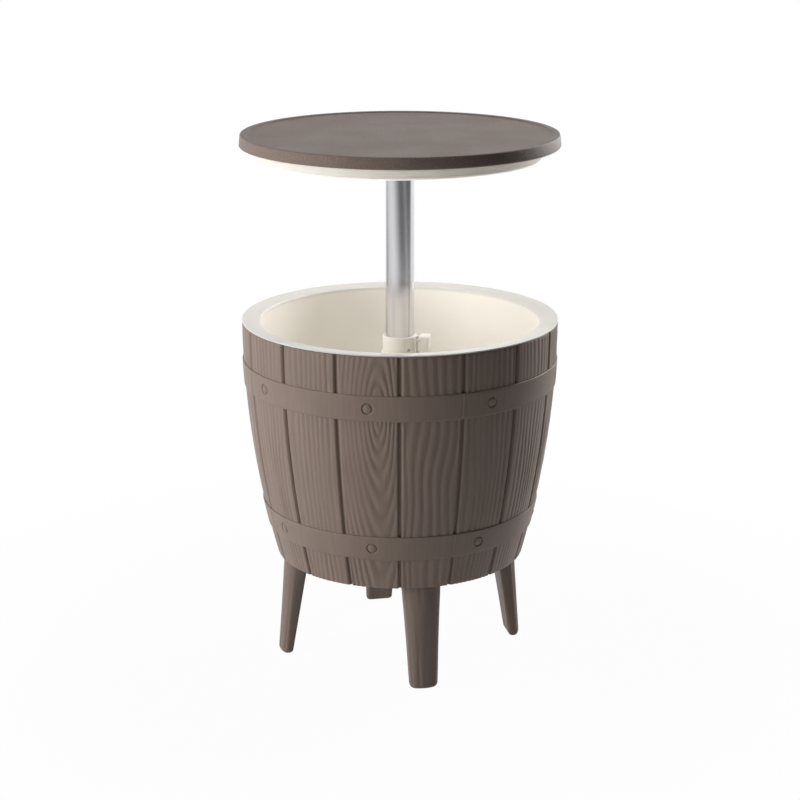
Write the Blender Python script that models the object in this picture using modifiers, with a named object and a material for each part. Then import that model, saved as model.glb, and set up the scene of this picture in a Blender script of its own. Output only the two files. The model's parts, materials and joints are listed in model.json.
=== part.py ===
"""Pop-up cooler: a stave barrel on four legs, with a table that rises on a centre column.

The frame has +Z up and its origin on the floor, on the column's axis. The front leg is at -Y.
Lengths are in metres and angles in degrees. An angle around the column is counted from +X
towards +Y.
"""

import math

import bmesh
import bpy
from mathutils import Matrix, Vector

# Whole cooler
RIM_HEIGHT = 0.5506
BARREL_RADIUS = 0.2481
BARREL_BOTTOM = 0.168
TABLE_INSET = 0.0006
TUBE_RADIUS = 0.0225

# Fits
GAP = 0.0003
OVERRUN = 0.004
MERGE = 0.00001
SHARP_ANGLE = 35.0

# Barrel shell
STAVE_COUNT = 16
STAVE_ARC_RADIUS = 1.45
SHELL_WALL = 0.0055
SHELL_FLOOR_RECESS = 0.004
SHELL_FLOOR_THICKNESS = 0.003
GROOVE_WIDTH = 0.0070
GROOVE_DEPTH = 0.0030
GROOVE_RUNOUT = 0.0022
HOOP_WIDTH = 0.040
HOOP_PROUD = 0.0018
HOOP_CHAMFER = 0.0012
UPPER_HOOP_DROP = 0.0822
LOWER_HOOP_RISE = 0.0711
RIVETS_PER_HOOP = 8
RIVET_RADIUS = 0.0075
RIVET_CROWN_RADIUS = 0.0045
RIVET_HEIGHT = 0.0022
RIVET_SIDES = 12
STAVE_COLUMN_SHARES = (1 / 3, 2 / 3)
STAVE_TOP_ROW_COUNT = 1
STAVE_MIDDLE_ROW_COUNT = 3
SHELL_INSIDE_ROW_COUNT = 2

# Legs
LEG_COUNT = 4
LEG_NAMES = ("leg_right", "leg_back", "leg_left", "leg_front")
LEG_INSET = 0.0090
LEG_TOP_THICKNESS = 0.0355
LEG_TOP_WIDTH = 0.0606
LEG_SPLAY = 0.0120
LEG_FOOT_THICKNESS = 0.0195
LEG_FOOT_WIDTH = 0.0435
LEG_BOW_SHARE = 0.6
LEG_BOW_STEPS = 5
LEG_ROUNDING = 0.0040
LEG_FOOT_ROUNDING = 0.0060
LEG_ROUNDING_STEPS = 3
TONGUE_INSET = 0.0035
TONGUE_SIDE_INSET = 0.006
TONGUE_HEIGHT = 0.040
SOCKET_WALL = 0.0025

# Liner
LINER_SIDES = 48
LINER_WALL = 0.0025
RIM_EDGE_HEIGHT = 0.0025
RIM_EDGE_ROUNDING = 0.0012
RIM_CROWN_INSET = 0.0024
RIM_SLOPE_DROP = 0.0030
RIM_RIB_DEPTH = 0.008
RIM_RIB_CLEARANCE = 0.0012
RIM_WIDTH = 0.0286
MOUTH_FILLET = 0.004
LINER_FLOOR_RISE = 0.072
LINER_FLOOR_INSET = 0.0176
LINER_FLOOR_FILLET = 0.012
LINER_ROW_COUNT = 2
TOWER_WALL = 0.0035
TOWER_DRAFT = 0.0032
TOWER_FILLET = 0.005
TOWER_SHOULDER_DROP = 0.0601
TOWER_SHOULDER_THICKNESS = 0.004
NECK_WALL = 0.0020
NECK_HEIGHT = 0.0215
TOWER_FLANGE_RADIUS = 0.047
TOWER_FLANGE_THICKNESS = 0.004
LINER_SCREW_CIRCLE_RADIUS = 0.0405

# Column
TUBE_SIDES = 32
TUBE_WALL = 0.0022
KEY_GROOVE_WIDTH = 0.0026
KEY_GROOVE_DEPTH = 0.0012
KEY_ANGLE = -63.25
FOOT_SLIDE_CLEARANCE = 0.0006
FOOT_WALL = 0.0034
FOOT_HEIGHT = 0.0383
FOOT_FLOOR_THICKNESS = 0.004
FOOT_FLOOR_CLEARANCE = 0.003
FOOT_SCREW_HEIGHT = 0.020

# Collar
COLLAR_HEIGHT = 0.0295
COLLAR_WALL = 0.0021
COLLAR_CHAMFER = 0.0010
COLLAR_FLARE = 0.0028
COLLAR_FLARE_HEIGHT = 0.0032
COLLAR_FLARE_SLOPE = 0.0020
COLLAR_SCREW_HEIGHT = 0.0095
COLLAR_SCREW_ANGLE = -70.85
KEY_TOOTH_CLEARANCE = 0.0004

# Lever, in a frame turned to face outwards from the column
LEVER_ANGLE = -21.25
LEVER_PIN_RADIUS = 0.0013
LEVER_PIN_HEAD_RADIUS = 0.0022
LEVER_PIN_HEAD_THICKNESS = 0.0008
LEVER_PIN_REACH = 0.0053
LEVER_PIN_DROP = 0.0060
LEVER_WIDTH = 0.026
LEVER_WALL = 0.0027
LEVER_TOP_THICKNESS = 0.0025
LEVER_REACH = 0.0198
LEVER_HEIGHT = 0.0235
LEVER_TOP_PROUD = 0.0005
LEVER_BACK_CLEARANCE = 0.0010
LEVER_TOP_BACK_CLEARANCE = 0.0033
LEVER_ROUNDING = 0.0010
NOSE_WIDTH = 0.0050
NOSE_SIDE_SHIFT = -0.0035
NOSE_HEIGHT = 0.0045
NOSE_DROP = 0.0040
NOSE_CLEARANCE = 0.0005
WEB_REACH = 0.0035
WEB_BACK_REACH = 0.0020
PAD_THICKNESS = 0.0013
PAD_WIDTH = 0.025
PAD_HEIGHT = 0.0165
LUG_THICKNESS = 0.0030
LUG_SPREAD = 0.0085
LUG_END_RADIUS = 0.0030
WINDOW_CLEARANCE = 0.0006
WINDOW_DROP = 0.0048
SPRING_WIRE_RADIUS = 0.00025
SPRING_COIL_RADIUS = 0.0026
SPRING_PITCH = 0.0010
SPRING_TURNS = 4
SPRING_POINTS_PER_TURN = 8
SPRING_START = 0.0006
SPRING_HOOK_DROP = 0.0060

# Table
TABLE_SIDES = 64
SKIRT_HEIGHT = 0.0175
SKIRT_DRAFT = 0.0020
SKIRT_WALL = 0.0030
TABLE_SKIN = 0.0030
TABLE_EDGE_ROUNDING = 0.0016
SKIRT_LOWER_ROUNDING = 0.0010
TRAY_RIM_WIDTH = 0.0105
TRAY_DEPTH = 0.0015
TRAY_SLOPE = 0.0020
BOSS_RADIUS = 0.006
BOSS_HEIGHT = 0.007
FLANGE_RADIUS = 0.056
FLANGE_THICKNESS = 0.004
FLANGE_SOCKET_WALL = 0.0035
FLANGE_SOCKET_CAP = 0.003
FLANGE_SCREW_CIRCLE_RADIUS = 0.046

# Lid cover
COVER_SIDES = 48
COVER_WALL = 0.0025
COVER_FLANGE_THICKNESS = 0.0014
COVER_FLANGE_INSET = 0.0023
COVER_DEPTH = 0.0207
COVER_PLUG_CLEARANCE = 0.0010
COVER_PLUG_FLARE = 0.0028
COVER_PLUG_ROUNDING = 0.005
COVER_RIB_HEIGHT = 0.006
COVER_RIB_THICKNESS = 0.002
COVER_RIB_CLEARANCE = 0.0008
COVER_HOLE_CLEARANCE = 0.0005

# Screws
SCREW_SHANK_RADIUS = 0.0018
SCREW_HOLE_CLEARANCE = 0.0004
SCREW_HEAD_RADIUS = 0.0038
SCREW_HEAD_HEIGHT = 0.0021
LINER_SCREW_LENGTH = 0.0095
FLANGE_SCREW_LENGTH = 0.0125
SCREW_SIDES = 12
SMALL_SCREW_SHANK_RADIUS = 0.0013
SMALL_SCREW_HEAD_RADIUS = 0.0028
SMALL_SCREW_HEAD_HEIGHT = 0.0010
SMALL_SCREW_END_CLEARANCE = 0.0004
SCREWS_PER_RING = 4

# Drain
DRAIN_INSET = 0.078
DRAIN_ANGLE = 45.0
DRAIN_PIPE_RADIUS = 0.0105
DRAIN_BORE_RADIUS = 0.0075
DRAIN_FLANGE_RADIUS = 0.016
DRAIN_FLANGE_THICKNESS = 0.002
DRAIN_WASHER_THICKNESS = 0.0015
DRAIN_PIPE_DROP = 0.022
DRAIN_NUT_RADIUS = 0.0165
DRAIN_NUT_THICKNESS = 0.0095
DRAIN_PLUG_HEAD_RADIUS = 0.0130
DRAIN_PLUG_HEAD_THICKNESS = 0.0050
DRAIN_PLUG_STEM_LENGTH = 0.015
DRAIN_PLUG_TAB_LENGTH = 0.009
DRAIN_PLUG_TAB_THICKNESS = 0.003
DRAIN_PLUG_TAB_WIDTH = 0.012
DRAIN_SIDES = 24
NUT_SIDES = 6

# Colours, linear
TAUPE = (0.200, 0.158, 0.138, 1.0)
RIM_WHITE = (0.80, 0.79, 0.76, 1.0)
CREAM_WHITE = (0.76, 0.73, 0.66, 1.0)
ALUMINIUM = (0.72, 0.72, 0.72, 1.0)
STEEL = (0.50, 0.50, 0.51, 1.0)
RUBBER_GREY = (0.10, 0.10, 0.10, 1.0)

# Heights and radii that follow from the sizes. The table rises as far as the tower is deep.
SHELL_TOP = RIM_HEIGHT - RIM_EDGE_HEIGHT - GAP
SHELL_FLOOR_UNDERSIDE = BARREL_BOTTOM + SHELL_FLOOR_RECESS
SHELL_FLOOR_TOP = SHELL_FLOOR_UNDERSIDE + SHELL_FLOOR_THICKNESS
LEG_TOP = SHELL_FLOOR_UNDERSIDE - GAP
UPPER_HOOP_HEIGHT = RIM_HEIGHT - UPPER_HOOP_DROP
LOWER_HOOP_HEIGHT = BARREL_BOTTOM + LOWER_HOOP_RISE
LINER_FLOOR_HEIGHT = BARREL_BOTTOM + LINER_FLOOR_RISE
TOWER_SHOULDER_HEIGHT = RIM_HEIGHT - TOWER_SHOULDER_DROP
TOWER_BORE_TOP = TOWER_SHOULDER_HEIGHT - TOWER_SHOULDER_THICKNESS
NECK_TOP = TOWER_SHOULDER_HEIGHT + NECK_HEIGHT
FOOT_TOP = TOWER_BORE_TOP - GAP
FOOT_BOTTOM = FOOT_TOP - FOOT_HEIGHT
TABLE_TRAVEL = FOOT_BOTTOM - FOOT_FLOOR_CLEARANCE - SHELL_FLOOR_TOP
COVER_FLANGE_BOTTOM = RIM_HEIGHT + GAP + TABLE_TRAVEL
COVER_TOP = COVER_FLANGE_BOTTOM + COVER_FLANGE_THICKNESS
SKIRT_BOTTOM = COVER_TOP + GAP
OPEN_HEIGHT = SKIRT_BOTTOM + SKIRT_HEIGHT
COVER_BOTTOM = SKIRT_BOTTOM - COVER_DEPTH
TABLE_RADIUS = BARREL_RADIUS - TABLE_INSET
MOUTH_RADIUS = BARREL_RADIUS - RIM_WIDTH
TUBE_BORE_RADIUS = TUBE_RADIUS + GAP
NECK_RADIUS = TUBE_BORE_RADIUS + NECK_WALL
FOOT_RADIUS = TUBE_BORE_RADIUS + FOOT_WALL
TOWER_BORE_RADIUS = FOOT_RADIUS + FOOT_SLIDE_CLEARANCE
TOWER_RADIUS = TOWER_BORE_RADIUS + TOWER_WALL
TUBE_BOTTOM = FOOT_BOTTOM + FOOT_FLOOR_THICKNESS + GAP
FOOT_SCREW_LEVEL = FOOT_BOTTOM + FOOT_SCREW_HEIGHT
FOOT_SCREW_ANGLE = KEY_ANGLE + 90
TABLE_UNDERSIDE = OPEN_HEIGHT - TRAY_DEPTH - TABLE_SKIN
BOSS_BOTTOM = TABLE_UNDERSIDE - BOSS_HEIGHT
FLANGE_TOP = BOSS_BOTTOM - GAP
FLANGE_BOTTOM = FLANGE_TOP - FLANGE_THICKNESS
FLANGE_SOCKET_TOP = FLANGE_TOP - FLANGE_SOCKET_CAP
TUBE_TOP = FLANGE_SOCKET_TOP - GAP
COLLAR_BOTTOM = TOWER_SHOULDER_HEIGHT + GAP
COLLAR_TOP = COLLAR_BOTTOM + COLLAR_HEIGHT
COLLAR_BORE_RADIUS = NECK_RADIUS + GAP
COLLAR_RADIUS = COLLAR_BORE_RADIUS + COLLAR_WALL
COLLAR_SCREW_LEVEL = COLLAR_BOTTOM + COLLAR_SCREW_HEIGHT
PAD_FACE = COLLAR_RADIUS + PAD_THICKNESS
PAD_BOTTOM = COLLAR_BOTTOM + COLLAR_FLARE_HEIGHT + COLLAR_FLARE_SLOPE
PIN_OUT = COLLAR_RADIUS + LEVER_PIN_REACH
PIN_LEVEL = COLLAR_TOP - LEVER_PIN_DROP
LEVER_TOP = COLLAR_TOP + LEVER_TOP_PROUD
LEVER_BOTTOM = LEVER_TOP - LEVER_HEIGHT
LEVER_FRONT = COLLAR_RADIUS + LEVER_REACH
LEVER_BACK = PAD_FACE + LEVER_BACK_CLEARANCE
SMALL_HOLE_RADIUS = SMALL_SCREW_SHANK_RADIUS + GAP
SMALL_HEAD_HOLE_RADIUS = SMALL_SCREW_HEAD_RADIUS + GAP
SCREW_HOLE_RADIUS = SCREW_SHANK_RADIUS + SCREW_HOLE_CLEARANCE
TOWER_FLANGE_BOTTOM = SHELL_FLOOR_TOP + GAP
STAVE_ANGLE = 360.0 / STAVE_COUNT
DRAIN_PIPE_BOTTOM = SHELL_FLOOR_UNDERSIDE - DRAIN_PIPE_DROP


def stave_radius(height):
    """Outer radius of the staves, a long arc that is upright at the barrel's top edge."""
    drop = SHELL_TOP - height
    return BARREL_RADIUS - STAVE_ARC_RADIUS + math.sqrt(STAVE_ARC_RADIUS ** 2 - drop ** 2)


# Radii that follow the staves
LEG_TOP_OUTER_RADIUS = stave_radius(BARREL_BOTTOM) - LEG_INSET
LEG_FOOT_OUTER_RADIUS = LEG_TOP_OUTER_RADIUS + LEG_SPLAY
LINER_FLOOR_RADIUS = stave_radius(LINER_FLOOR_HEIGHT) - SHELL_WALL - LINER_FLOOR_INSET
DRAIN_CIRCLE_RADIUS = LINER_FLOOR_RADIUS - DRAIN_INSET


def clear_scene():
    """Remove what the scene holds, so the model starts from nothing."""
    for item in list(bpy.data.objects):
        bpy.data.objects.remove(item, do_unlink=True)
    for group in list(bpy.data.collections):
        bpy.data.collections.remove(group)


def new_collection(name):
    """Add a named collection to the scene."""
    group = bpy.data.collections.new(name)
    bpy.context.scene.collection.children.link(group)
    return group


def finish(name, colour, roughness, metallic=0.0):
    """A Principled material with one colour."""
    material = bpy.data.materials.new(name)
    material.use_nodes = True
    shader = material.node_tree.nodes["Principled BSDF"]
    shader.inputs["Base Color"].default_value = colour
    shader.inputs["Roughness"].default_value = roughness
    shader.inputs["Metallic"].default_value = metallic
    material.diffuse_color = colour
    return material


def arc_points(centre_out, centre_up, radius, start, end, count):
    """Points of an arc in the profile plane, from one angle to another, both included."""
    points = []
    for index in range(count):
        angle = math.radians(start + (end - start) * index / (count - 1))
        points.append((centre_out + radius * math.cos(angle), centre_up + radius * math.sin(angle)))
    return points


def spread(start, end, count):
    """Evenly spaced values strictly between two ends."""
    return [start + (end - start) * (index + 1) / (count + 1) for index in range(count)]


def at_angle(radius, angle, height):
    """A point at a radius and an angle around the column."""
    turn = math.radians(angle)
    return Vector((radius * math.cos(turn), radius * math.sin(turn), height))


class Workshop:
    """Makes objects in the cooler's collections."""

    def __init__(self):
        self.parts = new_collection("pop_up_cooler")
        self.cutters = new_collection("cutters")
        self.mounting = new_collection("stations")

    def add(self, name, mesh, material=None, parent=None):
        """Link a mesh as a part, or as a cutter where it has no material."""
        item = bpy.data.objects.new(name, mesh)
        if material is None:
            self.cutters.objects.link(item)
            item.hide_render = True
            item.display_type = "WIRE"
        else:
            self.parts.objects.link(item)
            mesh.materials.append(material)
        item.parent = parent
        return item

    def station(self, name, location=(0, 0, 0), angle=0.0, parent=None):
        """An empty that carries parts, turned around the vertical."""
        empty = bpy.data.objects.new(name, None)
        self.mounting.objects.link(empty)
        empty.location = location
        empty.rotation_euler = (0, 0, math.radians(angle))
        empty.parent = parent
        return empty

    def copy(self, name, mesh, location, rotation, parent=None):
        """Place one more part that shares a finished mesh."""
        item = bpy.data.objects.new(name, mesh)
        self.parts.objects.link(item)
        item.location = location
        item.rotation_euler = rotation
        item.parent = parent
        return item

    def turned(self, name, profile, sides, material=None, parent=None, ring=False):
        """A profile in the XZ plane, turned around Z. A ring's profile closes on itself."""
        mesh = bpy.data.meshes.new(name)
        shape = bmesh.new()
        corners = [shape.verts.new((out, 0, up)) for out, up in profile]
        for first, second in zip(corners, corners[1:]):
            shape.edges.new((first, second))
        if ring:
            shape.edges.new((corners[-1], corners[0]))
        shape.to_mesh(mesh)
        shape.free()
        item = self.add(name, mesh, material, parent)
        screw = item.modifiers.new("turn", "SCREW")
        screw.axis = "Z"
        screw.steps = sides
        screw.render_steps = sides
        screw.use_merge_vertices = True
        screw.merge_threshold = MERGE
        screw.use_smooth_shade = True
        return item

    def solid(self, name, build, material=None, parent=None):
        """A mesh filled by a function that draws into a bmesh."""
        mesh = bpy.data.meshes.new(name)
        shape = bmesh.new()
        build(shape)
        shape.to_mesh(mesh)
        shape.free()
        return self.add(name, mesh, material, parent)


def draw_box(shape, low, high, turn=Matrix()):
    """A box between two corners."""
    low = Vector(low)
    high = Vector(high)
    size = high - low
    place = turn @ Matrix.Translation((low + high) / 2) @ Matrix.Diagonal((*size, 1))
    return bmesh.ops.create_cube(shape, size=1, matrix=place)["verts"]


def draw_rod(shape, start, end, radius, sides, end_radius=None):
    """A round bar, or a cone where the end radius differs, between two points."""
    start = Vector(start)
    along = Vector(end) - start
    turn = Vector((0, 0, 1)).rotation_difference(along).to_matrix().to_4x4()
    place = Matrix.Translation(start + along / 2) @ turn
    if end_radius is None:
        end_radius = radius
    bmesh.ops.create_cone(shape, cap_ends=True, segments=sides, radius1=radius, radius2=end_radius,
                          depth=along.length, matrix=place)


def boolean(item, cutter, operation):
    """Cut or join one object with another, by the exact solver."""
    modifier = item.modifiers.new(operation.lower() + "_" + cutter.name, "BOOLEAN")
    modifier.object = cutter
    modifier.operation = operation
    modifier.solver = "EXACT"


def bevel(item, width, steps):
    """Round an object's edges."""
    modifier = item.modifiers.new("rounding", "BEVEL")
    modifier.width = width
    modifier.segments = steps
    modifier.limit_method = "ANGLE"


def bake(item):
    """Turn an object's modifiers into its mesh."""
    bpy.context.view_layer.update()
    evaluated = item.evaluated_get(bpy.context.evaluated_depsgraph_get())
    mesh = bpy.data.meshes.new_from_object(evaluated)
    item.modifiers.clear()
    item.data = mesh
    return mesh


def move_origin(item, point):
    """Put an object's origin on a point of its parent's frame, with its shape left in place."""
    item.data.transform(Matrix.Translation(-Vector(point)))
    item.location = point


def liner_radius(height):
    """Inner radius of the liner, upright at its mouth and drawn in towards its floor."""
    mouth = RIM_HEIGHT - RIM_SLOPE_DROP - MOUTH_FILLET
    share = (mouth - height) / (mouth - LINER_FLOOR_HEIGHT)
    return MOUTH_RADIUS - (MOUTH_RADIUS - LINER_FLOOR_RADIUS) * share ** 2


def hoop_profile(centre):
    """Profile of one hoop on the staves, top to bottom."""
    top = centre + HOOP_WIDTH / 2
    bottom = centre - HOOP_WIDTH / 2
    shoulder_top = top - HOOP_CHAMFER
    shoulder_bottom = bottom + HOOP_CHAMFER
    return [(stave_radius(top), top),
            (stave_radius(shoulder_top) + HOOP_PROUD, shoulder_top),
            (stave_radius(shoulder_bottom) + HOOP_PROUD, shoulder_bottom),
            (stave_radius(bottom), bottom)]


def stave_spans():
    """Top and bottom of each stretch of stave that shows between the hoops, with its row count."""
    upper_top = UPPER_HOOP_HEIGHT + HOOP_WIDTH / 2
    upper_bottom = UPPER_HOOP_HEIGHT - HOOP_WIDTH / 2
    lower_top = LOWER_HOOP_HEIGHT + HOOP_WIDTH / 2
    lower_bottom = LOWER_HOOP_HEIGHT - HOOP_WIDTH / 2
    return [(SHELL_TOP, upper_top + GROOVE_RUNOUT, STAVE_TOP_ROW_COUNT),
            (upper_bottom - GROOVE_RUNOUT, lower_top + GROOVE_RUNOUT, STAVE_MIDDLE_ROW_COUNT),
            (lower_bottom - GROOVE_RUNOUT, BARREL_BOTTOM, 0)]


def shell_profile():
    """Profile of the barrel shell, down its outside, across its floor and up its inside."""
    rows = [[top, *spread(top, bottom, count), bottom] for top, bottom, count in stave_spans()]
    outside = [(stave_radius(height), height) for height in rows[0]]
    outside += hoop_profile(UPPER_HOOP_HEIGHT)
    outside += [(stave_radius(height), height) for height in rows[1]]
    outside += hoop_profile(LOWER_HOOP_HEIGHT)
    outside += [(stave_radius(height), height) for height in rows[2]]
    edge = [(stave_radius(BARREL_BOTTOM) - SHELL_WALL, BARREL_BOTTOM),
            (stave_radius(SHELL_FLOOR_UNDERSIDE) - SHELL_WALL, SHELL_FLOOR_UNDERSIDE),
            (0, SHELL_FLOOR_UNDERSIDE),
            (0, SHELL_FLOOR_TOP)]
    heights = [SHELL_FLOOR_TOP, *spread(SHELL_FLOOR_TOP, SHELL_TOP, SHELL_INSIDE_ROW_COUNT), SHELL_TOP]
    inside = [(stave_radius(height) - SHELL_WALL, height) for height in heights]
    return outside + edge + inside


def groove_columns():
    """Angles of one stave's columns from its groove: the groove's bottom, its edges, the stave."""
    edge = math.degrees(GROOVE_WIDTH / 2 / BARREL_RADIUS)
    width = STAVE_ANGLE - 2 * edge
    inner = [edge + width * share for share in STAVE_COLUMN_SHARES]
    return [0.0, edge, *inner, STAVE_ANGLE - edge]


def press_grooves(mesh):
    """Gather the turned shell's columns at the grooves and press the grooves' bottoms in."""
    columns = groove_columns()
    step = STAVE_ANGLE / len(columns)
    spans = stave_spans()
    for corner in mesh.vertices:
        radius = math.hypot(corner.co.x, corner.co.y)
        if radius < MERGE:
            continue
        count = round(math.degrees(math.atan2(corner.co.y, corner.co.x)) / step)
        stave, column = divmod(count, len(columns))
        height = corner.co.z
        on_stave = any(bottom - MERGE < height < top + MERGE for top, bottom, _ in spans)
        on_outside = abs(radius - stave_radius(height)) < MERGE
        if column == 0 and on_stave and on_outside:
            radius -= GROOVE_DEPTH
        angle = STAVE_ANGLE * (stave + 1 / 2) + columns[column]
        corner.co = at_angle(radius, angle, height)


def draw_rivets(shape):
    """Low round rivet heads, square to the hoop's slope, at every second stave's centre."""
    for height in (UPPER_HOOP_HEIGHT, LOWER_HOOP_HEIGHT):
        drop = SHELL_TOP - height
        slope = math.asin(drop / STAVE_ARC_RADIUS)
        for index in range(RIVETS_PER_HOOP):
            angle = (index + 1 / 2) * 360 / RIVETS_PER_HOOP
            outward = at_angle(math.cos(slope), angle, -math.sin(slope))
            seat = at_angle(stave_radius(height) + HOOP_PROUD, angle, height)
            draw_rod(shape, seat - outward * RIVET_HEIGHT, seat + outward * RIVET_HEIGHT,
                     RIVET_RADIUS + (RIVET_RADIUS - RIVET_CROWN_RADIUS), RIVET_SIDES, RIVET_CROWN_RADIUS)


def tongue_box(grow, bottom, top):
    """Low and high corners of a leg's tongue in its own frame, grown on each side."""
    inner = LEG_TOP_OUTER_RADIUS - LEG_TOP_THICKNESS + TONGUE_INSET
    outer = LEG_TOP_OUTER_RADIUS - LEG_TOP_THICKNESS * LEG_BOW_SHARE / 2
    side = LEG_TOP_WIDTH / 2 - TONGUE_SIDE_INSET
    return (inner - grow, -side - grow, bottom), (outer + grow, side + grow, top)


def draw_leg_blocks(shape, grow, bottom, top):
    """One block for each leg's tongue, around the column."""
    low, high = tongue_box(grow, bottom, top)
    for index in range(LEG_COUNT):
        draw_box(shape, low, high, Matrix.Rotation(math.radians(index * 360 / LEG_COUNT), 4, "Z"))


def draw_screw_ring(shape, circle, low, high, radius):
    """One upright rod for each screw of a ring, midway between the legs."""
    for index in range(SCREWS_PER_RING):
        angle = (index + 1 / 2) * 360 / SCREWS_PER_RING
        draw_rod(shape, at_angle(circle, angle, low), at_angle(circle, angle, high), radius, SCREW_SIDES)


def make_barrel_shell(shop, taupe):
    """The barrel: staves, hoops, rivets, floor and leg sockets in one moulding."""
    columns = len(groove_columns()) * STAVE_COUNT
    shell = shop.turned("barrel_shell", shell_profile(), columns, taupe, ring=True)
    press_grooves(bake(shell))
    rivets = shop.solid("rivet_heads", draw_rivets)
    boolean(shell, rivets, "UNION")
    tongue_top = SHELL_FLOOR_UNDERSIDE + TONGUE_HEIGHT
    sockets = shop.solid("socket_walls", lambda shape: draw_leg_blocks(
        shape, GAP + SOCKET_WALL, SHELL_FLOOR_UNDERSIDE + SHELL_FLOOR_THICKNESS / 2,
        tongue_top + GAP + SOCKET_WALL))
    boolean(shell, sockets, "UNION")
    pockets = shop.solid("socket_pockets", lambda shape: draw_leg_blocks(
        shape, GAP, SHELL_FLOOR_UNDERSIDE - OVERRUN, tongue_top + GAP))
    boolean(shell, pockets, "DIFFERENCE")
    boolean(shell, shop.solid("floor_holes", draw_floor_holes), "DIFFERENCE")


def draw_floor_holes(shape):
    """Holes through the shell's floor for the liner's screws and for the drain pipe."""
    low = SHELL_FLOOR_UNDERSIDE - OVERRUN
    high = SHELL_FLOOR_TOP + OVERRUN
    draw_screw_ring(shape, LINER_SCREW_CIRCLE_RADIUS, low, high, SCREW_HOLE_RADIUS)
    draw_rod(shape, at_angle(DRAIN_CIRCLE_RADIUS, DRAIN_ANGLE, low),
             at_angle(DRAIN_CIRCLE_RADIUS, DRAIN_ANGLE, high), DRAIN_PIPE_RADIUS + GAP, DRAIN_SIDES)


def leg_section(height, inset):
    """Points of a leg's section: a flat inner face, rounded corners and a bowed outer face."""
    share = height / LEG_TOP
    outer = LEG_FOOT_OUTER_RADIUS + (LEG_TOP_OUTER_RADIUS - LEG_FOOT_OUTER_RADIUS) * share
    thickness = LEG_FOOT_THICKNESS + (LEG_TOP_THICKNESS - LEG_FOOT_THICKNESS) * share
    side = (LEG_FOOT_WIDTH + (LEG_TOP_WIDTH - LEG_FOOT_WIDTH) * share) / 2
    bow = thickness * LEG_BOW_SHARE
    half = []
    for step in range(LEG_ROUNDING_STEPS + 1):
        turn = math.radians(90 * step / LEG_ROUNDING_STEPS)
        half.append((outer - thickness + LEG_ROUNDING * (1 - math.cos(turn)),
                     side - LEG_ROUNDING * (1 - math.sin(turn))))
    for step in range(LEG_BOW_STEPS + 1):
        turn = math.radians(90 * step / LEG_BOW_STEPS)
        half.append((outer - bow * (1 - math.sin(turn)), side * math.cos(turn)))
    middle = outer - thickness / 2
    points = half + [(out, -across) for out, across in reversed(half[:-1])]
    return [(middle + (out - middle) * (1 - 2 * inset / thickness), across * (1 - inset / side), height)
            for out, across in points]


def draw_leg(shape):
    """A leg without its tongue, from its rounded foot up to its shoulder."""
    turns = [math.radians(90 * step / LEG_ROUNDING_STEPS) for step in range(LEG_ROUNDING_STEPS + 1)]
    sections = [leg_section(LEG_FOOT_ROUNDING * (1 - math.cos(turn)), LEG_FOOT_ROUNDING * (1 - math.sin(turn)))
                for turn in turns]
    sections.append(leg_section(LEG_TOP, 0))
    rings = [[shape.verts.new(point) for point in section] for section in sections]
    for below, above in zip(rings, rings[1:]):
        for index, corner in enumerate(below):
            shape.faces.new((corner, below[index - 1], above[index - 1], above[index]))
    shape.faces.new(rings[0])
    shape.faces.new(rings[-1])
    bmesh.ops.recalc_face_normals(shape, faces=shape.faces)


def leg_mesh(shop, taupe):
    """Mesh of a leg that narrows to its foot, with a tongue on top for its socket."""
    leg = shop.solid("leg_pattern", draw_leg, taupe)
    low, high = tongue_box(0, LEG_TOP - OVERRUN, SHELL_FLOOR_UNDERSIDE + TONGUE_HEIGHT)
    tongue = shop.solid("leg_tongue", lambda shape: draw_box(shape, low, high))
    boolean(leg, tongue, "UNION")
    mesh = bake(leg)
    bpy.data.objects.remove(leg)
    return mesh


def make_legs(shop, taupe):
    """Four legs around the barrel, each on a station at its own angle."""
    mesh = leg_mesh(shop, taupe)
    for index, name in enumerate(LEG_NAMES):
        shop.copy(name, mesh, (0, 0, 0), (0, 0, math.radians(index * 360 / LEG_COUNT)))


def rim_surface(radius):
    """Height of the rim's upper face, which falls towards the mouth."""
    outer = BARREL_RADIUS - RIM_CROWN_INSET
    inner = MOUTH_RADIUS + MOUTH_FILLET
    return RIM_HEIGHT - RIM_SLOPE_DROP * (outer - radius) / (outer - inner)


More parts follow.
